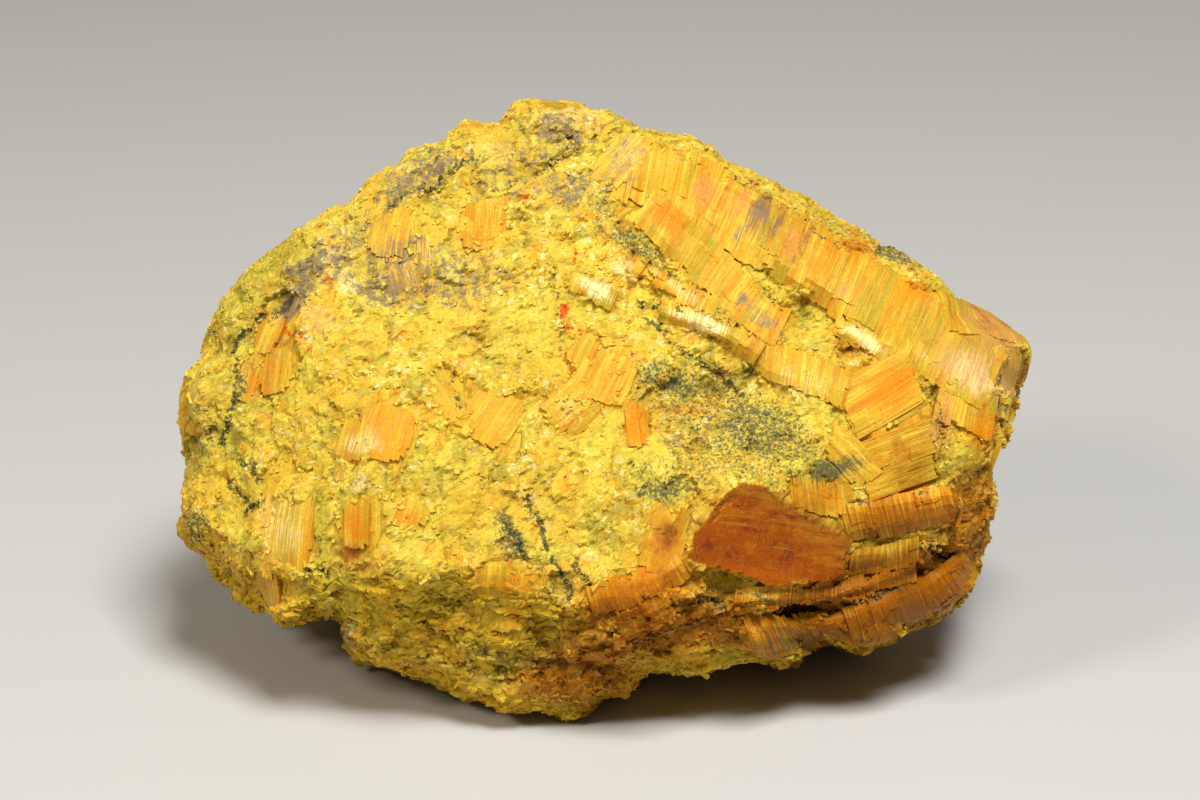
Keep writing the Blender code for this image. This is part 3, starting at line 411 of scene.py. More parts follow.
class Fabric:
    """How the stone is parted into crystals, and which way the grain lies at any place on its skin."""

    def __init__(self, places, normals, dice):
        front = EYES["front"]
        seen = front.seen(places)
        facing = front.facing(normals)
        seeds, across_reach, along_reach, grains, fibrous = [], [], [], [], []
        for crystal in map(Crystal._make, CRYSTALS):
            off = np.hypot(seen[:, 0] - crystal.u, seen[:, 1] - crystal.v) + (facing < 0.1) * 1e3
            seeds.append(int(np.argmin(off)))
            turn = math.radians(crystal.grain)
            grains.append(front.direction([math.cos(turn)], [math.sin(turn)])[0])
            across_reach.append(crystal.wide)
            along_reach.append(crystal.high)
            fibrous.append(crystal.fibrous)
        taken = places[seeds]
        for i in dice.choice(len(places), CRYSTAL_TRIES, replace=False):
            if np.min(np.linalg.norm(taken - places[i], axis=1)) < CRYSTAL_SPACING:
                continue
            taken = np.vstack((taken, places[i]))
            seeds.append(int(i))
            turn = math.radians(dice.normal(*CRYSTAL_GRAIN))
            lie = np.array((math.cos(turn), 0.0, math.sin(turn)))
            grains.append(lie @ np.array((front.axes[0], front.axes[2], front.axes[1])))
            size = dice.uniform(1.3, 2.6)
            across_reach.append(size)
            along_reach.append(size * dice.uniform(1.0, 1.7))
            rare = 0.05 if facing[i] > 0.1 else 0.16
            fibrous.append(dice.uniform(0.55, 1.0) if dice.random() < rare else dice.uniform(0.0, 0.3))
        self.seeds = places[seeds]
        self.faces = unit(normals[seeds])
        grains = np.array(grains)
        grains -= self.faces * np.sum(grains * self.faces, axis=1, keepdims=True)
        self.grains = unit(grains)
        self.across = np.cross(self.grains, self.faces)
        self.across_reach = np.array(across_reach)
        self.along_reach = np.array(along_reach)
        self.fibrous = np.array(fibrous)
        self.tilt = dice.normal(0.0, 0.05, (len(seeds), 2))
        self.lift = dice.normal(0.0, 0.10, len(seeds))
        self.tint = dice.random(len(seeds))

    def crystal_at(self, places):
        """The index of the crystal that each place belongs to, and how near the place is to its border."""
        moved = drift(places, 3.4, GRAIN_DRIFT, seed=2.0)
        index = np.zeros(len(places), int)
        border = np.zeros(len(places))
        ways = ((self.across, self.across_reach), (self.grains, self.along_reach),
                (self.faces, self.across_reach))
        for start in range(0, len(places), BATCH):
            part = moved[start:start + BATCH]
            far = 0.0
            for axis, reach in ways:
                far = far + ((part @ axis.T - np.sum(self.seeds * axis, axis=1)) / reach) ** 2
            two = np.sqrt(np.partition(far, 1, axis=1)[:, :2])
            index[start:start + BATCH] = np.argmin(far, axis=1)
            border[start:start + BATCH] = two[:, 1] - two[:, 0]
        return index, border

    def lie(self, places, normals):
        """The grain at each place: its direction, its coordinates in mm, and its crystal's traits."""
        index, border = self.crystal_at(places)
        rel = places - self.seeds[index]
        grain = self.grains[index]
        coords = np.stack((np.sum(rel * self.across[index], axis=1) + index * 3.17,
                           np.sum(rel * grain, axis=1) + index * 1.93,
                           np.sum(rel * self.faces[index], axis=1)), axis=1)
        fibrous = self.fibrous[index].copy()
        lath = np.zeros(len(places))
        for number, band in enumerate(BANDS):
            eye = EYES[band.eye]
            seen = eye.seen(places)
            best, run, off, heading = along_trace(seen, band.trace)
            inside = (best < np.minimum(band.across / 2, np.abs(off) + 0.35)) & (eye.facing(normals) > 0.15)
            if not inside.any():
                continue
            lean = math.radians(90 + band.lean)
            across = np.stack((heading[:, 0] * math.cos(lean) - heading[:, 1] * math.sin(lean),
                               heading[:, 0] * math.sin(lean) + heading[:, 1] * math.cos(lean)), axis=1)
            grain[inside] = eye.direction(across[inside, 0], across[inside, 1])
            skewed = run + off * math.tan(math.radians(band.lean))
            coords[inside, 0] = skewed[inside] + number * 61.0
            coords[inside, 1] = off[inside] + number * 17.0
            coords[inside, 2] = 0.0
            fibrous[inside] = 1.0
            lath[inside] = band.lath
            border[inside] = np.minimum(1.0, (band.across / 2 - best[inside]))
            index[inside] = len(self.seeds) + number
        cleaved = on_cleavage(places, normals)
        u, v = EYES["front"].seen(places[cleaved]).T
        turn = math.radians(CLEAVED_GRAIN)
        coords[cleaved] = np.stack((v * math.cos(turn) - u * math.sin(turn),
                                    u * math.cos(turn) + v * math.sin(turn), 0.0 * u), axis=1)
        fibrous[cleaved] = 0.8
        grain = unit(grain - normals * np.sum(grain * normals, axis=1, keepdims=True))
        return {"crystal": index, "border": border, "grain": grain, "coords": coords, "fibrous": fibrous,
                "lath": lath}

    def raised(self, places, normals, lie, chips):
        """How far each place stands out: crystals tilt and lift, and chips and ledges break up the rest."""
        own = lie["crystal"] < len(self.seeds)
        index = np.where(own, lie["crystal"], 0)
        rel = places - self.seeds[index]
        tilt = np.sum(rel * self.across[index], axis=1) * self.tilt[index, 0]
        tilt += np.sum(rel * self.grains[index], axis=1) * self.tilt[index, 1]
        move = np.where(own, np.clip(tilt, -0.3, 0.3) + self.lift[index], 0.0)
        crumbly = 1.0 - lie["fibrous"] * 0.7
        broken = crumbly * rugged(normals)
        move += (crumbly + broken * 0.3) * (chips.facet(places, 0) + chips.facet(places, 1))
        move += broken * (ledges(places) - cracks(places) * 0.4)
        move += swell(places, 5.0, seed=5.0) * 0.2
        move -= (1.0 - smooth_step(0.0, 0.10, lie["border"])) * 0.15 * own
        sunk = np.where(lie["lath"] > 0, 0.38, lie["fibrous"] * 0.22)
        return move - sunk

    def relief(self, places, normals, lie, chips):
        """How far the skin stands out, with the large cleaved face made flat."""
        raised = self.raised(places, normals, lie, chips)
        return np.where(on_cleavage(places, normals), to_cleavage(places, normals), raised)


class Chips:
    """The flat faces that a crumbly skin breaks into, coarse ones and fine ones."""

    def __init__(self, places, dice):
        self.sets = []
        for spacing, steepness in zip(CHIP_SPACINGS, CHIP_STEEPNESS):
            tree = kdtree.KDTree(len(places))
            middles = []
            count = int(SKIN_AREA / spacing**2)
            for i in dice.choice(len(places), count, replace=False):
                tree.insert(places[i], len(middles))
                middles.append(places[i])
            tree.balance()
            slopes = dice.normal(0.0, steepness, (count, 3))
            lifts = dice.normal(0.0, 0.05 * spacing, count)
            self.sets.append((tree, np.array(middles), slopes, lifts))

    def facet(self, places, which):
        """How far the chip that holds each place lifts it."""
        tree, middles, slopes, lifts = self.sets[which]
        moved = drift(places, 1.6, 0.35, seed=3.0 + which)
        nearest = np.array([tree.find(p)[1] for p in moved])
        rel = places - middles[nearest]
        height = np.sum(rel * slopes[nearest], axis=1) + lifts[nearest]
        return np.clip(height, -MOST_PROUD, MOST_PROUD)


def stains(places, normals):
    """How strongly each stain marks each place: from the listed patches in front, and from slow noise
    behind.
    """
    front = EYES["front"]
    facing = smooth_step(-0.15, 0.15, front.facing(normals))
    warped = drift(places, 2.6, 0.9, seed=7.0)
    seen = front.seen(warped)
    made = {}
    for number, stain in enumerate(STAINS):
        most = 0.45 if stain in ("spark", "red") else 0.8
        behind = smooth_step(0.15, 0.75, swell(places, 9.0, seed=20.0 + number)) * most
        mask = behind * (1.0 - facing)
        for patch in map(Patch._make, PATCHES[stain]):
            turn = math.radians(patch.turn)
            du, dv = seen[:, 0] - patch.u, seen[:, 1] - patch.v
            a = (du * math.cos(turn) + dv * math.sin(turn)) / patch.wide
            b = (dv * math.cos(turn) - du * math.sin(turn)) / patch.high
            patched = 1.0 - smooth_step(0.4, 1.6, np.hypot(a, b))
            mask = np.maximum(mask, patched * patch.strong * facing)
        made[stain] = mask
    return made


def veins(places, normals):
    """The veins' stain and their depth at each place."""
    front = EYES["front"]
    facing = front.facing(normals) > 0.05
    seen = front.seen(drift(places, 2.2, 0.8, seed=9.0))
    dark = np.zeros(len(places))
    deep = np.zeros(len(places))
    for vein in VEINS:
        best = along_trace(seen, vein.trace)[0]
        share = np.clip(1.0 - best / (vein.wide * 1.1), 0.0, 1.0) * facing
        dark = np.maximum(dark, share * vein.dark)
        deep = np.maximum(deep, smooth_step(0.3, 1.0, share) * vein.deep)
    behind = np.abs(swell(places, 11.0, seed=31.0)) + np.where(facing, 1.0, 0.0)
    dark = np.maximum(dark, np.clip(1.0 - behind / 0.06, 0.0, 1.0) * 0.7)
    deep = np.maximum(deep, np.clip(1.0 - behind / 0.04, 0.0, 1.0) * 0.3)
    return dark, deep


def on_cleavage(places, normals):
    """Whether each place lies on the large cleaved face; its border wanders a little."""
    x, y = EYES["front"].seen(drift(places, 2.4, 0.5, seed=12.0)).T
    inside = np.zeros(len(places), bool)
    for (xa, ya), (xb, yb) in zip(CLEAVED_OUTLINE, CLEAVED_OUTLINE[1:] + CLEAVED_OUTLINE[:1]):
        crossed = (ya > y) != (yb > y)
        inside ^= crossed & (x < (xb - xa) * (y - ya) / (yb - ya + 1e-12) + xa)
    return inside & (EYES["front"].facing(normals) > 0.0)


def cleavage_colour(places, normals):
    """How much a place has the cleaved face's colour: a half at its border."""
    seen = EYES["front"].seen(drift(places, 2.4, 0.5, seed=12.0))
    away = along_trace(seen, CLEAVED_OUTLINE + CLEAVED_OUTLINE[:1])[0]
    inner = on_cleavage(places, normals)
    return np.clip(0.5 + np.where(inner, away, -away) / 2.0, 0.0, 1.0)


def to_cleavage(places, normals):
    """How far each place has to move along its normal to lie in the cleaved face's plane."""
    inner = on_cleavage(places, normals)
    middle = places[inner].mean(axis=0)
    flat = np.linalg.svd(places[inner] - middle, full_matrices=False)[2][2]
    facing = normals @ flat
    facing = np.where(np.abs(facing) < 0.4, np.inf, facing)
    return np.clip((middle - places) @ flat / facing, -CLEAVED_SLACK, CLEAVED_SLACK)


def rugged(normals):
    """How broken the skin is: most where it faces down or hangs over."""
    return smooth_step(0.40, -0.10, normals[:, 2])


def cracks(places):
    """Fine level crevices where the skin is rugged, from 0 to 1 at their bottoms."""
    flat = places * (0.45, 0.45, 1.0)
    return np.clip(1.0 - np.abs(swell(flat, 2.6, seed=41.0)) / 0.14, 0.0, 1.0)


def ledges(places):
    """How far worn ledges stand out where the skin is rugged; each one hangs over the next below."""
    bowl = places[:, 2] - 0.3 * np.hypot(places[:, 0] + 8.0, 6.0)
    height = bowl / 2.8 + swell(places, 9.0, seed=45.0) * 0.9
    return (0.5 - height % 1.0) * 1.3 * smooth_step(-0.2, 0.4, swell(places, 6.0, seed=47.0))


def underside_shade(places, normals):
    """How much a place faces down low on the stone, where painted shade makes it darker and more brown, with
    a little of the lower side's own brown colour.
    """
    return smooth_step(0.25, -0.45, normals[:, 2]) * smooth_step(34.0, 22.0, places[:, 2])


def in_box(places):
    """The places, held inside the solid's own box."""
    return np.clip(places, np.array(cad_low) / MM, np.array(cad_high) / MM)


def give(mesh, name, values):
    """Stores one value or one vector for each vertex of a mesh."""
    values = np.asarray(values, float)
    if values.ndim == 1:
        mesh.attributes.new(name, "FLOAT", "POINT").data.foreach_set("value", values)
    else:
        mesh.attributes.new(name, "FLOAT_VECTOR", "POINT").data.foreach_set("vector", values.ravel())


def mark(mesh, lie, stained, dark, hollow, under, tint, face):
    """Gives a mesh what its material reads."""
    for stain in STAINS:
        give(mesh, stain, stained[stain])
    give(mesh, "fibrous", lie["fibrous"])
    give(mesh, "vein", dark)
    # Painted shade: how low a place lies, and how much it faces down low on the stone
    give(mesh, "hollow", hollow)
    give(mesh, "under", under)
    give(mesh, "tint", tint)
    give(mesh, "face", face)


def shown(name, mesh, material):
    piece = bpy.data.objects.new(name, mesh)
    bpy.context.scene.collection.objects.link(piece)
    mesh.materials.append(material)
    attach(piece, "root")
    return piece


def make_skin(fabric, chips, mesh, material):
    """The stone itself, with its crystals, chips and veins raised on the solid's skin."""
    places, normals = places_and_normals(mesh)
    lie = fabric.lie(places, normals)
    dark, deep = veins(places, normals)
    relief = fabric.relief(places, normals, lie, chips)
    moved = in_box(places + normals * (relief - deep)[:, None])
    mesh.vertices.foreach_set("co", (moved * MM).ravel())
    # Painted shade: darker where the skin is sunk below its neighbours or cut by a vein
    low_spot_shade = np.clip(deep - relief - lie["fibrous"] * 0.22, 0.0, 1.2) * (lie["lath"] == 0)
    mark(mesh, lie, stains(places, normals), dark, low_spot_shade, underside_shade(places, normals),
         np.full(len(places), 0.5), cleavage_colour(places, normals))
    give(mesh, "grain", lie["coords"])
    mesh.polygons.foreach_set("use_smooth", np.zeros(len(mesh.polygons), bool))
    piece = shown("orpiment_skin", mesh, material)
    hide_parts("rough_orpiment")


def scattered(mesh, count, weight, dice):
    """Places and normals strewn over a mesh, more of them where the weight of its vertices is high."""
    mesh.calc_loop_triangles()
    corners = np.empty(len(mesh.loop_triangles) * 3, int)
    mesh.loop_triangles.foreach_get("vertices", corners)
    corners = corners.reshape(-1, 3)
    places, normals = places_and_normals(mesh)
    a, b, c = places[corners[:, 0]], places[corners[:, 1]], places[corners[:, 2]]
    share = np.linalg.norm(np.cross(b - a, c - a), axis=1) * weight[corners].mean(axis=1)
    chosen = dice.choice(len(corners), count, p=share / share.sum())
    r, s = np.sqrt(dice.random(count)), dice.random(count)
    parts = np.stack((1 - r, r * (1 - s), r * s), axis=1)[:, :, None]
    trio = corners[chosen]
    return np.sum(places[trio] * parts, axis=1), unit(np.sum(normals[trio] * parts, axis=1))


def bars(name, bar, worn, uneven, dice, material):
    """Bars joined into one mesh: each has the two edges of its top, its top's normal and its depth."""
    lefts, rights, tops, depths, origins, fibrous, tints, hollows = (
        np.asarray(bar[key], float) for key in BAR_KEYS)
    count, sections = lefts.shape[:2]
    middles = (lefts + rights) / 2
    across = rights - lefts
    widths = np.linalg.norm(across, axis=-1)
    along = np.gradient(middles, axis=1)
    along /= np.maximum(np.linalg.norm(along, axis=-1, keepdims=True), 1e-9)
    tops = np.repeat(tops[:, None], sections, axis=1)
    tops = tops - along * np.sum(tops * along, axis=-1, keepdims=True)
    tops /= np.maximum(np.linalg.norm(tops, axis=-1, keepdims=True), 1e-9)
    length = np.linalg.norm(middles[:, 1:] - middles[:, :-1], axis=-1)
    run = np.concatenate((np.zeros((count, 1)), np.cumsum(length, axis=1)), axis=1)
    sides = np.array((-0.5, 0.5, 0.5 * worn, -0.5 * worn))
    sides = sides * (1.0 + dice.uniform(-uneven, uneven, (count, sections, 4)))
    ends = np.zeros((count, sections, 4))
    ends[:, 0], ends[:, -1] = dice.uniform(-0.3, 0.3, (2, count, 4)) * np.minimum(widths[:, :1], 0.8)
    down = np.array((-1.0, -1.0, 0.0, 0.0)) * depths[:, None, None]
    corners = middles[:, :, None] + across[:, :, None] * sides[..., None]
    corners += along[:, :, None] * ends[..., None]
    verts = in_box((corners + tops[:, :, None] * down[..., None]).reshape(-1, 3))
    quads = [(3, 2, 1, 0)]
    for start in range(0, sections * 4 - 4, 4):
        for a, b in ((0, 1), (1, 2), (2, 3), (3, 0)):
            quads.append((start + a, start + b, start + b + 4, start + a + 4))
    last = sections * 4 - 4
    quads.append((last, last + 1, last + 2, last + 3))
    each = sections * 4
    faces = (np.array(quads)[None] + (np.arange(count) * each)[:, None, None]).reshape(-1, 4)
    mesh = bpy.data.meshes.new(name)
    mesh.vertices.add(len(verts))
    mesh.vertices.foreach_set("co", (verts * MM).ravel())
    mesh.loops.add(faces.size)
    mesh.loops.foreach_set("vertex_index", faces.ravel())
    mesh.polygons.add(len(faces))
    mesh.polygons.foreach_set("loop_start", np.arange(0, faces.size, 4))
    mesh.polygons.foreach_set("use_smooth", np.zeros(len(faces), bool))
    mesh.update(calc_edges=True)
    outward = np.repeat(tops[:, :, None], 4, axis=2).reshape(-1, 3)
    dark, _ = veins(verts, outward)
    lie = {"fibrous": np.repeat(fibrous, each)}
    mark(mesh, lie, stains(verts, outward), dark, np.repeat(hollows, each), underside_shade(verts, outward),
         np.repeat(tints, each), np.zeros(len(verts)))
    grain = np.stack((sides * widths[:, :, None], ends + run[:, :, None], np.broadcast_to(down, ends.shape)),
                     axis=-1)
    grain[..., :2] += origins[:, None, None]
    give(mesh, "grain", grain.reshape(-1, 3))
    shown(name, mesh, material)


class Skin:
    """The stone's skin to lay bars on, in millimetres."""

    def __init__(self, mesh):
        places, _ = places_and_normals(mesh)
        faces = [tuple(face.vertices) for face in mesh.polygons]
        self.tree = bvhtree.BVHTree.FromPolygons([Vector(p) for p in places], faces)

    def seen_from(self, eye, u, v):
        """Where a viewer's line of sight meets the skin, and its normal there, or nothing."""
        middle = Vector(MIDDLE)
        right, up, towards = (Vector(axis) for axis in eye.axes)
        lens = middle + towards * EYE_DISTANCE
        hit, normal, _, _ = self.tree.ray_cast(lens, middle + right * u + up * v - lens)
        return hit, normal

    def under(self, place, way):
        """Where a line through a place, against its outward way, meets the skin."""
        hit, normal, _, _ = self.tree.ray_cast(Vector(place) + Vector(way) * 3.0, -Vector(way), 7.0)
        return hit, normal


def new_bars():
    return {key: [] for key in BAR_KEYS}


def add_bar(bar, *values):
    for key, value in zip(BAR_KEYS, values):
        bar[key].append(value)


def row_of_laths(start, end, size, dice):
    """The edges of laths that lie side by side from start to end, each of about that size."""
    edges = [start]
    while edges[-1] < end:
        edges.append(edges[-1] + size * math.exp(dice.normal(0.0, 0.5)))
    return np.minimum(edges, end)


def wandering(count, step, jump, dice):
    """A number for each lath of a row: near its neighbour's, but for small steps and rare jumps."""
    leaps = dice.normal(0.0, step, count) + (dice.random(count) < 0.12) * dice.normal(0.0, jump, count)
    values = np.zeros(count)
    last = 0.0
    for i, leap in enumerate(leaps):
        last = last * 0.8 + leap
        values[i] = last
    return values


class BandSurface:
    """The smooth surface that the laths of one band share, measured on the skin from the band's own eye."""

    def __init__(self, band, skin):
        self.band = band
        self.eye = EYES[band.eye]
        self.trace = np.array(band.trace)
        self.legs = np.hypot(*(self.trace[1:] - self.trace[:-1]).T)
        self.starts = np.concatenate(((0.0,), np.cumsum(self.legs)))
        self.total = self.starts[-1]
        self.reach = band.across / 2 / math.cos(math.radians(band.lean))
        self.stations = np.arange(0.0, self.total + 0.99, 1.0)
        self.shares = np.linspace(-1.0, 1.0, 9)
        depth = np.full((len(self.stations), 9), np.nan)
        for i, s in enumerate(self.stations):
            point, cross = self.line_at(s)
            for j, share in enumerate(self.shares):
                place, _ = skin.seen_from(self.eye, *(point + cross * share * self.reach))
                if place is not None:
                    depth[i, j] = (np.array(place) - MIDDLE) @ self.eye.axes[2]
        self.met = ~np.isnan(depth)
        depth[~self.met] = np.interp(np.flatnonzero(~self.met), np.flatnonzero(self.met), depth[self.met])
        last = len(depth) - 1
        near = [np.clip(np.arange(len(depth)) + k, 0, last) for k in range(-2, 3)]
        depth = np.median(depth[near], axis=0)
        for _ in range(3):
            depth = (depth[near[1]] + 2 * depth + depth[near[3]]) / 4
        self.depth = depth

    def line_at(self, s):
        """The middle of the band at a distance along it, and the direction of its laths, in view."""
        leg = min(int(np.searchsorted(self.starts, s, side="right")) - 1, len(self.legs) - 1)
        heading = (self.trace[leg + 1] - self.trace[leg]) / self.legs[leg]
        lean = math.radians(90 + self.band.lean)
        cross = np.array((heading[0] * math.cos(lean) - heading[1] * math.sin(lean),
                          heading[0] * math.sin(lean) + heading[1] * math.cos(lean)))
        return self.trace[leg] + heading * (s - self.starts[leg]), cross

    def places(self, s, runs):
        """Places on the surface: at a distance along the band, and at the given runs across it."""
        point, cross = self.line_at(s)
        w = np.interp(runs / self.reach, self.shares, [np.interp(s, self.stations, d) for d in self.depth.T])
        flat = self.eye.direction(*(point + cross * runs[:, None]).T) * (1.0 - w / EYE_DISTANCE)[:, None]
        return np.array(MIDDLE) + flat + self.eye.axes[2] * w[:, None]

    def lath(self, start, end, low, high):
        """The two edges of a lath, as far across the band as the skin reaches, and its normal."""
        row = min(int(round((start + end) / 2)), len(self.stations) - 1)
        there = self.shares[self.met[row]] * self.reach
        if len(there) < 3:
            return None
        low, high = max(low, there[0] - 0.2), min(high, there[-1] + 0.1)
        if high - low < 0.6 or end - start < 0.05:
            return None
        runs = np.linspace(low, high, LATH_SECTIONS)
        left, right = self.places(start, runs), self.places(end, runs)
        top = np.cross((right - left).mean(axis=0), left[-1] - left[0] + right[-1] - right[0])
        return left, right, unit(top[None])[0]


def lay_sheet(bar, surface, number, span, reach, lift, dice):
    """One sheet of laths on a band: over a span along it, and between two limits across it."""
    edges = row_of_laths(*span, surface.band.lath * 0.45, dice)
    count = len(edges) - 1
    level = lift + wandering(count, 0.012, 0.05, dice)
    low = reach[0] + wandering(count, 0.12, 0.6, dice)
    high = reach[1] + wandering(count, 0.12, 0.6, dice)
    tint = 0.5 + wandering(count, 0.14, 0.3, dice)
    for i in range(count):
        made = surface.lath(edges[i], edges[i + 1], low[i], high[i])
        if made is None:
            continue
        left, right, top = made
        origin = (number * 61.0 + (edges[i] + edges[i + 1]) / 2, number * 17.0 + low[i])
        add_bar(bar, left + top * level[i], right + top * level[i], top, 0.8, origin, 1.0, tint[i], 0.0)


def band_laths(skin, dice):
    """Laths side by side along every band, with remains of higher sheets standing on them."""
    bar = new_bars()
    for number, band in enumerate(BANDS):
        surface = BandSurface(band, skin)
        lay_sheet(bar, surface, number, (0.0, surface.total), (-surface.reach, surface.reach), 0.08, dice)
        for _ in range(int(surface.total / 3)):
            start = dice.uniform(-1.0, surface.total - 1.0)
            end = min(start + dice.uniform(1.0, 5.0), surface.total)
            middle = dice.uniform(-0.9, 0.9) * surface.reach
            half = dice.uniform(0.2, 0.7) * surface.reach
            reach = (max(middle - half, -surface.reach), min(middle + half, surface.reach))
            lay_sheet(bar, surface, number, (max(start, 0.0), end), reach, dice.uniform(0.11, 0.22), dice)
    return bar


def curved(a, t):
    """The terms of a gently curved sheet's height at a across the grain and t along it."""
    return np.column_stack((np.ones(len(a)), a, t, a * a, t * t, a * t))


def crystal_laths(skin, fabric, dice):
    """Laths side by side on every crystal that is fibrous."""
    bar = new_bars()
    free = (fabric.lie(fabric.seeds, fabric.faces)["lath"] == 0) & ~on_cleavage(fabric.seeds, fabric.faces)
    for k in np.flatnonzero((fabric.fibrous > 0.5) & free):
        wide, high = fabric.across_reach[k], fabric.along_reach[k]
        across, grain, face = fabric.across[k], fabric.grains[k], fabric.faces[k]
        middle = fabric.seeds[k]
        shares = np.linspace(-0.9, 0.9, 4)
        spots = [(a * wide, t * high) for a in shares for t in shares]
        under = [(a, t, skin.under(middle + across * a + grain * t, face)[0]) for a, t in spots]
        met = np.array([(a, t, (np.array(place) - middle) @ face) for a, t, place in under if place])
        if len(met) < 12:
            continue
        shape = np.linalg.lstsq(curved(met[:, 0], met[:, 1]), met[:, 2], rcond=None)[0]
        edges = row_of_laths(-wide, wide, 0.55, dice)
        count = len(edges) - 1
        level = dice.uniform(0.0, 0.16) + wandering(count, 0.015, 0.06, dice)
        round_end = high * (1.0 - np.abs((edges[:-1] + edges[1:]) / 2 / wide) ** 5) ** 0.5
        low = wandering(count, 0.12, 0.5, dice) - round_end
        up = wandering(count, 0.12, 0.5, dice) + round_end
        tint = 0.5 + wandering(count, 0.12, 0.3, dice)
        for i in range(count):
            if up[i] - low[i] < 0.6 or edges[i + 1] - edges[i] < 0.05:
                continue
            runs = np.linspace(low[i], up[i], LATH_SECTIONS)
            left, right = (middle + across * a + grain * runs[:, None] + face * (
                curved(np.full(LATH_SECTIONS, a), runs) @ shape + level[i])[:, None] for a in edges[i:i + 2])
            origin = (k * 7.3 + (edges[i] + edges[i + 1]) / 2, k * 3.1 + low[i])
            add_bar(bar, left, right, face, 1.0, origin, 1.0, tint[i], 0.0)
    return bar


def chip_bars(mesh, fabric, chips, count, weight, dice):
    """Short flat chips strewn over the crumbly parts; where these are rugged, the chips lie level."""
    spots, ways = scattered(mesh, count, weight, dice)
    lie = fabric.lie(spots, ways)
    turn = dice.normal(0.0, 0.7, count)[:, None]
    broken = rugged(ways)[:, None]
    level = unit(np.cross(ways, (0.0, 0.0, 1.0)))
    along = unit(lie["grain"] * (1.0 - broken) + level * broken)
    along = along * np.cos(turn) + np.cross(ways, along) * np.sin(turn)
    top = unit(ways + dice.normal(0.0, 0.14, (count, 3)) * (1.0 + 0.2 * broken))
    along = unit(along - top * np.sum(along * top, axis=1, keepdims=True))
    size = np.exp(dice.normal(math.log(0.40), 0.32, count))
    length = (size * dice.uniform(0.8, 1.5, count))[:, None] * (1.0 + 1.2 * broken)
    raised = fabric.raised(spots, ways, lie, chips)
    above = np.where(lie["lath"] > 0, 0.5, np.where(lie["fibrous"] > 0.5, 0.28, 0.0))
    middle = spots + ways * (raised + above + dice.uniform(-0.10, 0.08, count))[:, None]
    # Painted shade: darker for chips that lie low
    hollow = np.clip(-raised - lie["fibrous"] * 0.22, 0.0, 1.2)
    paths = np.stack((middle - along * length / 2, middle + along * length / 2), axis=1)
    aside = (np.cross(along, top) * size[:, None] / 2)[:, None]
    origins = dice.uniform(0.0, 900.0, (count, 2))
    return dict(zip(BAR_KEYS, (paths - aside, paths + aside, top, np.full(count, 0.5), origins,
                               lie["fibrous"] * 0.5, dice.random(count), hollow)))


def linear(code):
    """An sRGB hex colour as linear red, green, blue and alpha."""
    parts = [int(code[i:i + 2], 16) / 255 for i in (1, 3, 5)]
    return tuple(p / 12.92 if p <= 0.04045 else ((p + 0.055) / 1.055) ** 2.4 for p in parts) + (1.0,)


def node(tree, kind, links=(), **settings):
    """Adds a node with its settings, and links or fills its sockets."""
    made = tree.nodes.new("ShaderNode" + kind)
    for name, value in settings.items():
        setattr(made, name, value)
    for socket, value in dict(links).items():
        if isinstance(value, bpy.types.NodeSocket):
            tree.links.new(value, made.inputs[socket])
        else:
            made.inputs[socket].default_value = value
    return made


def centred_noise(tree, where, scale, detail, rough):
    """Noise of that many waves to the millimetre, about zero."""
    made = node(tree, "TexNoise", {"Vector": where, "Scale": scale, "Detail": detail, "Roughness": rough})
    return node(tree, "Math", {0: made.outputs["Fac"], 1: 0.5}, operation="SUBTRACT").outputs[0]


def blended(tree, colour, code, by, between, most=1.0):
    """The colour going over into another one as a value passes between two limits."""
    share = node(tree, "MapRange", {"Value": by, "From Min": between[0], "From Max": between[1],
                                    "To Max": most}, interpolation_type="SMOOTHSTEP").outputs[0]
    return node(tree, "Mix", {0: share, 6: colour, 7: linear(code)}, data_type="RGBA").outputs[2]


def stained(tree, colour, mask, specks, ragged, code, between, most=1.0):
    """The colour with a stain over it, whose border breaks up into specks."""
    broken = node(tree, "Math", {0: specks, 1: ragged, 2: mask}, operation="MULTIPLY_ADD").outputs[0]
    return blended(tree, colour, code, broken, between, most)


def crushed(tree, where, scale):
    """Grains, that many to the millimetre: a number for each from -0.5 to 0.5, and its facet's height."""
    cells = node(tree, "TexVoronoi", {"Vector": where, "Scale": scale})
    dice = node(tree, "VectorMath", {0: cells.outputs["Color"], 1: (0.5, 0.5, 0.5)},
                operation="SUBTRACT").outputs[0]
    rel = node(tree, "VectorMath", {0: where, 1: cells.outputs["Position"]},
               operation="SUBTRACT").outputs[0]
    height = node(tree, "VectorMath", {0: rel, 1: dice}, operation="DOT_PRODUCT").outputs["Value"]
    return node(tree, "SeparateXYZ", {0: dice}).outputs[0], height


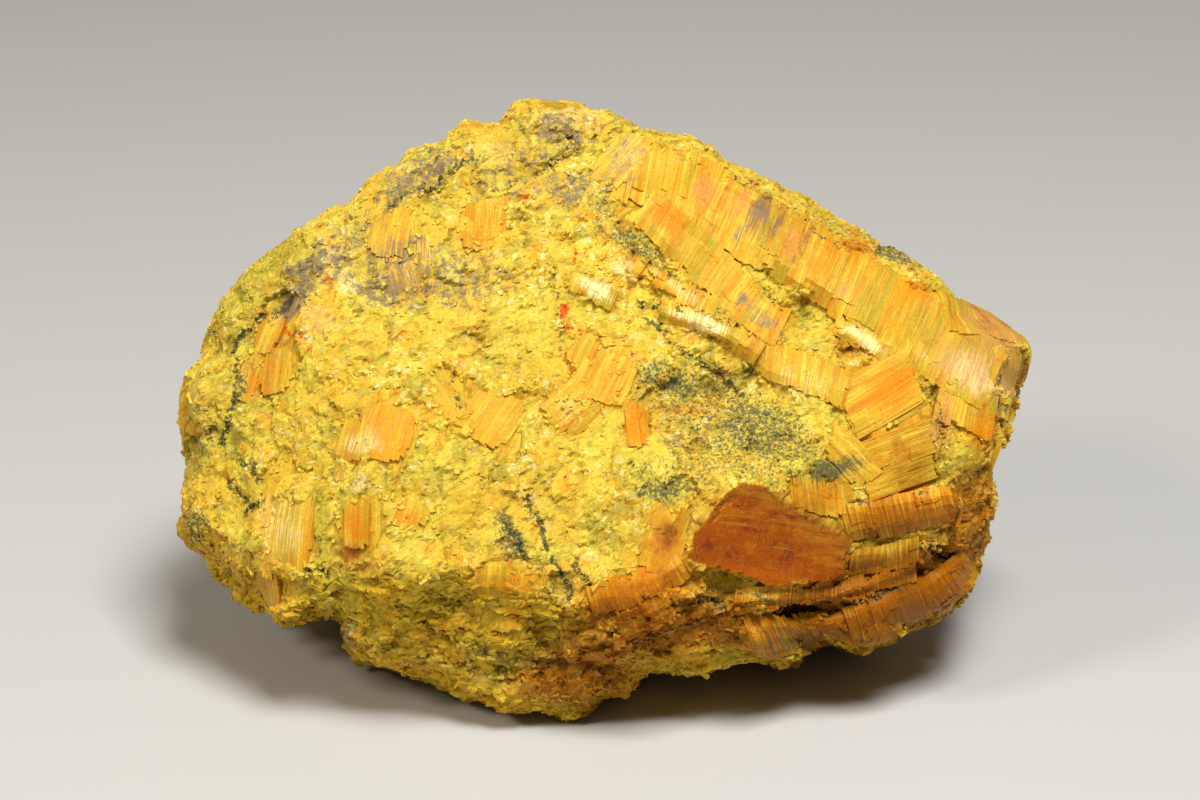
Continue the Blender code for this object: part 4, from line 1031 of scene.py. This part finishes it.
def red_face_colour(tree, grain, specks, blotches):
    """The cleaved face with realgar in it: red-brown, ochre along its streaks, flecked with dark dots."""
    height, length, _ = node(tree, "SeparateXYZ", {0: grain}).outputs
    along = node(tree, "Mapping", {"Vector": grain, "Scale": (1.0, 0.12, 1.0)}).outputs[0]
    upright = node(tree, "Mapping", {"Vector": grain, "Scale": (0.10, 1.0, 1.0),
                                     "Rotation": (0, 0, 0.25)}).outputs[0]
    streaks = centred_noise(tree, along, 1.1, 5.0, 0.65)
    cracks = centred_noise(tree, upright, 0.9, 3.0, 0.5)
    upper = node(tree, "MapRange", {"Value": height, "From Min": -17.0, "From Max": -7.0,
                                    "To Min": -0.08, "To Max": 0.12}).outputs[0]
    right = node(tree, "MapRange", {"Value": length, "From Min": 24.0, "From Max": 34.0,
                                    "To Max": 0.16}).outputs[0]
    ochre = node(tree, "Math", {0: upper, 1: right}, operation="ADD").outputs[0]
    ochre = node(tree, "Math", {0: streaks, 1: 0.8, 2: ochre}, operation="MULTIPLY_ADD").outputs[0]
    colour = blended(tree, linear("#98450A"), "#74280F", blotches, (0.0, 0.14), most=0.8)
    colour = blended(tree, colour, "#A85808", blotches, (-0.04, -0.16), most=0.8)
    colour = blended(tree, colour, "#A86C18", ochre, (0.0, 0.16), most=0.8)
    colour = blended(tree, colour, "#BE5C10", height, (-17.2, -19.2), most=0.7)
    colour = blended(tree, colour, "#B4741C", specks, (0.08, 0.22), most=0.6)
    colour = blended(tree, colour, "#5E2A10", specks, (-0.12, -0.24), most=0.6)
    line = node(tree, "Math", {0: cracks}, operation="ABSOLUTE").outputs[0]
    colour = blended(tree, colour, "#B87A30", line, (0.008, 0.0), most=0.4)
    dots = node(tree, "TexVoronoi", {"Vector": grain, "Scale": 0.42}).outputs["Distance"]
    return blended(tree, colour, "#2C2418", dots, (0.09, 0.05), most=0.8)


def orpiment_material(name, shine):
    """Orpiment, broken and cleaved: golden and resinous, with a pearly gleam where its laths lie flat."""
    material = bpy.data.materials.new(name)
    material.use_nodes = True
    tree = material.node_tree
    tree.nodes.clear()
    places = node(tree, "TexCoord").outputs["Object"]
    here = node(tree, "VectorMath", {0: places, "Scale": 1.0 / MM}, operation="SCALE").outputs[0]
    read = {key: node(tree, "Attribute", attribute_name=key).outputs["Fac"]
            for key in STAINS + ("fibrous", "vein", "hollow", "under", "tint", "face")}
    grain = node(tree, "Attribute", attribute_name="grain").outputs["Vector"]
    # The real mottling goes down to a tenth of a millimetre; it is drawn a few times as coarse, to show
    specks = centred_noise(tree, here, 1.7, 7.0, 0.68)
    mottle = centred_noise(tree, here, 2.3, 6.0, 0.72)
    smudges = centred_noise(tree, here, 1.0, 7.0, 0.74)
    slow = centred_noise(tree, here, 0.16, 4.0, 0.6)
    middling = centred_noise(tree, here, 0.45, 4.0, 0.6)
    fine = centred_noise(tree, here, 2.8, 5.0, 0.7)
    # Fibres run twenty times as long as they are wide; the finest are drawn a quarter of a millimetre wide,
    # where the real ones are hair-thin
    stretched = node(tree, "Mapping", {"Vector": grain, "Scale": (1.0, 0.05, 0.3)}).outputs[0]
    laths = centred_noise(tree, stretched, 0.9, 3.0, 0.6)
    tints = centred_noise(tree, stretched, 0.5, 3.0, 0.6)
    hairs = centred_noise(tree, stretched, 4.0, 4.0, 0.6)
    crumbly = node(tree, "Math", {0: 1.0, 1: read["fibrous"]}, operation="SUBTRACT").outputs[0]
    # Grains of 0.7 mm and 1.7 mm, each with a colour and a facet of its own that catches the light
    small_dice, small_facets = crushed(tree, here, 1.5)
    large_dice, large_facets = crushed(tree, here, 0.6)

    own = node(tree, "Math", {0: read["tint"], 1: 0.5}, operation="SUBTRACT").outputs[0]
    facets = node(tree, "Math", {0: large_facets, 1: small_facets}, operation="ADD").outputs[0]
    crumbs = centred_noise(tree, here, 1.8, 6.0, 0.65)
    streak, broad_streak, thin_streak, own = (
        node(tree, "Math", {0: value, 1: read["fibrous"]}, operation="MULTIPLY").outputs[0]
        for value in (laths, tints, hairs, own))
    small_grain, large_grain, facets, crumbs = (
        node(tree, "Math", {0: value, 1: crumbly}, operation="MULTIPLY").outputs[0]
        for value in (small_dice, large_dice, facets, crumbs))
    colour = linear("#D8C246")
    for code, by, between, most in (
            ("#DCB43A", slow, (-0.10, 0.12), 1.0), ("#ACA43C", middling, (0.06, 0.22), 0.6),
            ("#C8A23C", middling, (-0.06, -0.22), 0.45), ("#C4901C", read["fibrous"], (0.3, 1.0), 0.6),
            ("#C87A14", streak, (0.02, 0.14), 0.75), ("#E6C440", streak, (-0.02, -0.15), 0.7),
            ("#A8942A", broad_streak, (0.05, 0.15), 0.7), ("#C47A28", broad_streak, (-0.05, -0.16), 0.6),
            ("#D0860F", own, (0.28, 0.48), 0.6), ("#B09A24", own, (-0.34, -0.48), 0.6),
            ("#A8641C", thin_streak, (0.07, 0.20), 0.4), ("#EBCE5C", thin_streak, (-0.08, -0.22), 0.4),
            # The near-white small grains are painted glints
            ("#F6E6A0", small_grain, (0.26, 0.5), 0.6), ("#A07418", small_grain, (-0.22, -0.5), 0.6),
            ("#DC9A20", large_grain, (0.22, 0.5), 0.6), ("#A89C36", large_grain, (-0.22, -0.5), 0.65)):
        colour = blended(tree, colour, code, by, between, most)
    fibre_specks = node(tree, "Mix", {0: read["fibrous"], 2: specks, 3: hairs}).outputs[0]
    for stain, specked, ragged, code, between, most in (
            # Pale: a paler colour, partly painted highlights and glints
            ("pale", fibre_specks, 2.6, "#F8E6A2", (0.45, 1.1), 0.9),
            ("warm", fibre_specks, 2.2, "#D67C0C", (0.15, 1.1), 0.9),
            ("olive", fibre_specks, 2.2, "#A0902A", (0.15, 1.0), 0.8),
            ("brown", fibre_specks, 1.4, "#8A4600", (0.1, 0.9), 0.9),
            ("tan", fibre_specks, 2.6, "#C88C4C", (0.3, 1.1), 0.8),
            ("red", middling, 1.6, "#8A3C0E", (0.1, 1.0), 0.9),
            ("spark", specks, 2.2, "#C9440F", (0.45, 0.8), 0.9)):
        colour = stained(tree, colour, read[stain], specked, ragged, code, between, most)
    face = node(tree, "Math", {0: mottle, 1: 0.8, 2: read["face"]}, operation="MULTIPLY_ADD").outputs[0]
    face = node(tree, "MapRange", {"Value": face, "From Min": 0.42, "From Max": 0.58}).outputs[0]
    reddened = red_face_colour(tree, grain, fine, middling)
    colour = node(tree, "Mix", {0: face, 6: colour, 7: reddened}, data_type="RGBA").outputs[2]
    half_fibrous = node(tree, "Math", {0: read["fibrous"], 1: 0.6}, operation="MULTIPLY").outputs[0]
    mottle, smudges = (node(tree, "Mix", {0: half_fibrous, 2: value, 3: hairs}).outputs[0]
                       for value in (mottle, smudges))
    greyer = node(tree, "Math", {0: read["grey"], 1: 0.08}, operation="ADD").outputs[0]
    colour = stained(tree, colour, read["purple"], smudges, 3.4, "#7E6E5E", (0.40, 0.9), most=0.85)
    colour = stained(tree, colour, greyer, mottle, 3.4, "#50563E", (0.52, 1.05), most=0.9)
    colour = stained(tree, colour, read["vein"], specks, 3.0, "#3E4834", (0.42, 0.74), most=0.9)
    pits = centred_noise(tree, here, 1.9, 5.0, 0.7)
    colour = blended(tree, colour, "#5A4F22", pits, (0.15, 0.19), most=0.7)
    value = node(tree, "MapRange", {"Value": fine, "From Min": -0.25, "From Max": 0.25, "To Min": 0.78,
                                    "To Max": 1.22}).outputs[0]
    tint = node(tree, "MapRange", {"Value": read["tint"], "To Min": 0.86, "To Max": 1.08}).outputs[0]
    # Painted shade: darker and more brown where a place lies low
    shade = node(tree, "MapRange", {"Value": read["hollow"], "From Max": 0.7, "To Min": 1.0,
                                    "To Max": 0.75}).outputs[0]
    for factor in (tint, shade):
        value = node(tree, "Math", {0: value, 1: factor}, operation="MULTIPLY").outputs[0]
    colour = node(tree, "VectorMath", {0: colour, "Scale": value}, operation="SCALE").outputs[0]
    colour = blended(tree, colour, "#40280A", read["hollow"], (0.45, 1.2), most=0.9)
    # Painted shade: darker and more brown where the skin faces down low on the stone, with a little of the
    # lower side's own brown colour
    shaded_browner = node(tree, "Mix", {0: 1.0, 6: colour, 7: linear("#E8DC96")}, data_type="RGBA",
                   blend_type="MULTIPLY").outputs[2]
    colour = node(tree, "Mix", {0: read["under"], 6: colour, 7: shaded_browner}, data_type="RGBA").outputs[2]

    bumped = node(tree, "Bump", {"Height": thin_streak, "Distance": 0.12 * MM}).outputs[0]
    for height, most in ((crumbs, 0.14), (facets, 0.22)):
        bumped = node(tree, "Bump", {"Height": height, "Distance": most * MM, "Normal": bumped}).outputs[0]
    rough = node(tree, "MapRange", {"Value": small_dice, "From Min": 0.5, "From Max": 0.1,
                                    "To Min": shine[0], "To Max": shine[1]}).outputs[0]
    # Resinous and a little translucent, so the gleam itself is tinted gold
    shader = node(tree, "BsdfPrincipled", {"Base Color": colour, "Roughness": rough, "Normal": bumped,
                                           "IOR": 1.6, "Specular IOR Level": 0.24,
                                           "Specular Tint": linear("#F8DC8C")})
    node(tree, "OutputMaterial", {"Surface": shader.outputs[0]})
    return material


def make_floor():
    """A plain, pale, matt table top."""
    bm = bmesh.new()
    bmesh.ops.create_grid(bm, x_segments=1, y_segments=1, size=2.0)
    mesh = bpy.data.meshes.new("table top")
    bm.to_mesh(mesh)
    bm.free()
    floor = bpy.data.objects.new("table_top", mesh)
    bpy.context.scene.collection.objects.link(floor)
    paint = bpy.data.materials.new("matt pale paint")
    paint.use_nodes = True
    shader = paint.node_tree.nodes["Principled BSDF"]
    shader.inputs["Base Color"].default_value = linear("#BEBDB9")
    shader.inputs["Roughness"].default_value = 0.7
    mesh.materials.append(paint)


def make_light(name, place, size, power, colour):
    """A soft rectangular light that looks at the stone's middle, placed in the viewer's axes, in mm."""
    light = bpy.data.lights.new(name, "AREA")
    light.shape = "RECTANGLE"
    light.size, light.size_y = size
    light.energy = power
    light.color = linear(colour)[:3]
    lamp = bpy.data.objects.new(name, light)
    bpy.context.scene.collection.objects.link(lamp)
    rel = Vector(place) * MM
    axes = Matrix(EYES["front"].axes).transposed()
    lamp.location = Vector(MIDDLE) * MM + axes @ rel
    lamp.rotation_mode = "QUATERNION"
    lamp.rotation_quaternion = (axes @ rel).to_track_quat("Z", "Y")


def make_camera():
    """The camera of the photograph: in front, looking down on the stone."""
    data = bpy.data.cameras.new("camera")
    data.sensor_width = 36.0
    data.lens = data.sensor_width * EYE_DISTANCE / FRAME_WIDTH
    data.clip_start = 0.01
    camera = bpy.data.objects.new("camera", data)
    bpy.context.scene.collection.objects.link(camera)
    axes = Matrix(EYES["front"].axes).transposed()
    camera.location = (Vector(MIDDLE) + axes @ Vector((*FRAME_SHIFT, EYE_DISTANCE))) * MM
    camera.rotation_mode = "QUATERNION"
    camera.rotation_quaternion = (axes @ Vector((0, 0, 1))).to_track_quat("Z", "Y")
    bpy.context.scene.camera = camera


def make_stage():
    make_floor()
    make_light("key", (140, 570, 570), (0.28, 0.28), 9.0, "#FFFFFF")
    make_light("fill", (-500, 300, 500), (0.15, 0.15), 2.5, "#FFF6E8")
    world = bpy.data.worlds.new("studio")
    world.use_nodes = True
    world.node_tree.nodes["Background"].inputs["Color"].default_value = linear("#F6EAD8")
    world.node_tree.nodes["Background"].inputs["Strength"].default_value = 0.12
    bpy.context.scene.world = world
    bpy.context.scene.view_settings.view_transform = "Standard"
    make_camera()


def make_stone():
    noise.seed_set(SEED)  # or noise_vector differs from run to run
    dice = np.random.default_rng(SEED)
    mesh = refined_skin(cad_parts["rough_orpiment"])
    places, normals = places_and_normals(mesh)
    fabric = Fabric(places, normals, dice)
    chips = Chips(places, dice)
    skin = Skin(mesh)
    broken = orpiment_material("broken orpiment", (0.12, 0.60))
    cleaved = orpiment_material("cleaved orpiment", (0.30, 0.52))
    lie = fabric.lie(places, normals)
    weight = np.clip(1.0 - lie["fibrous"] * 1.15, 0.0, 1.0) * (cleavage_colour(places, normals) < 0.25)
    bars("band_laths", band_laths(skin, dice), 1.0, 0.0, dice, cleaved)
    bars("crystal_laths", crystal_laths(skin, fabric, dice), 1.0, 0.0, dice, cleaved)
    for number in range(2):
        chipped = chip_bars(mesh, fabric, chips, CHIPS_A_PIECE, weight, dice)
        bars("chips_%d" % (number + 1), chipped, 0.74, 0.1, dice, broken)
    make_skin(fabric, chips, mesh, broken)


make_stone()
make_stage()
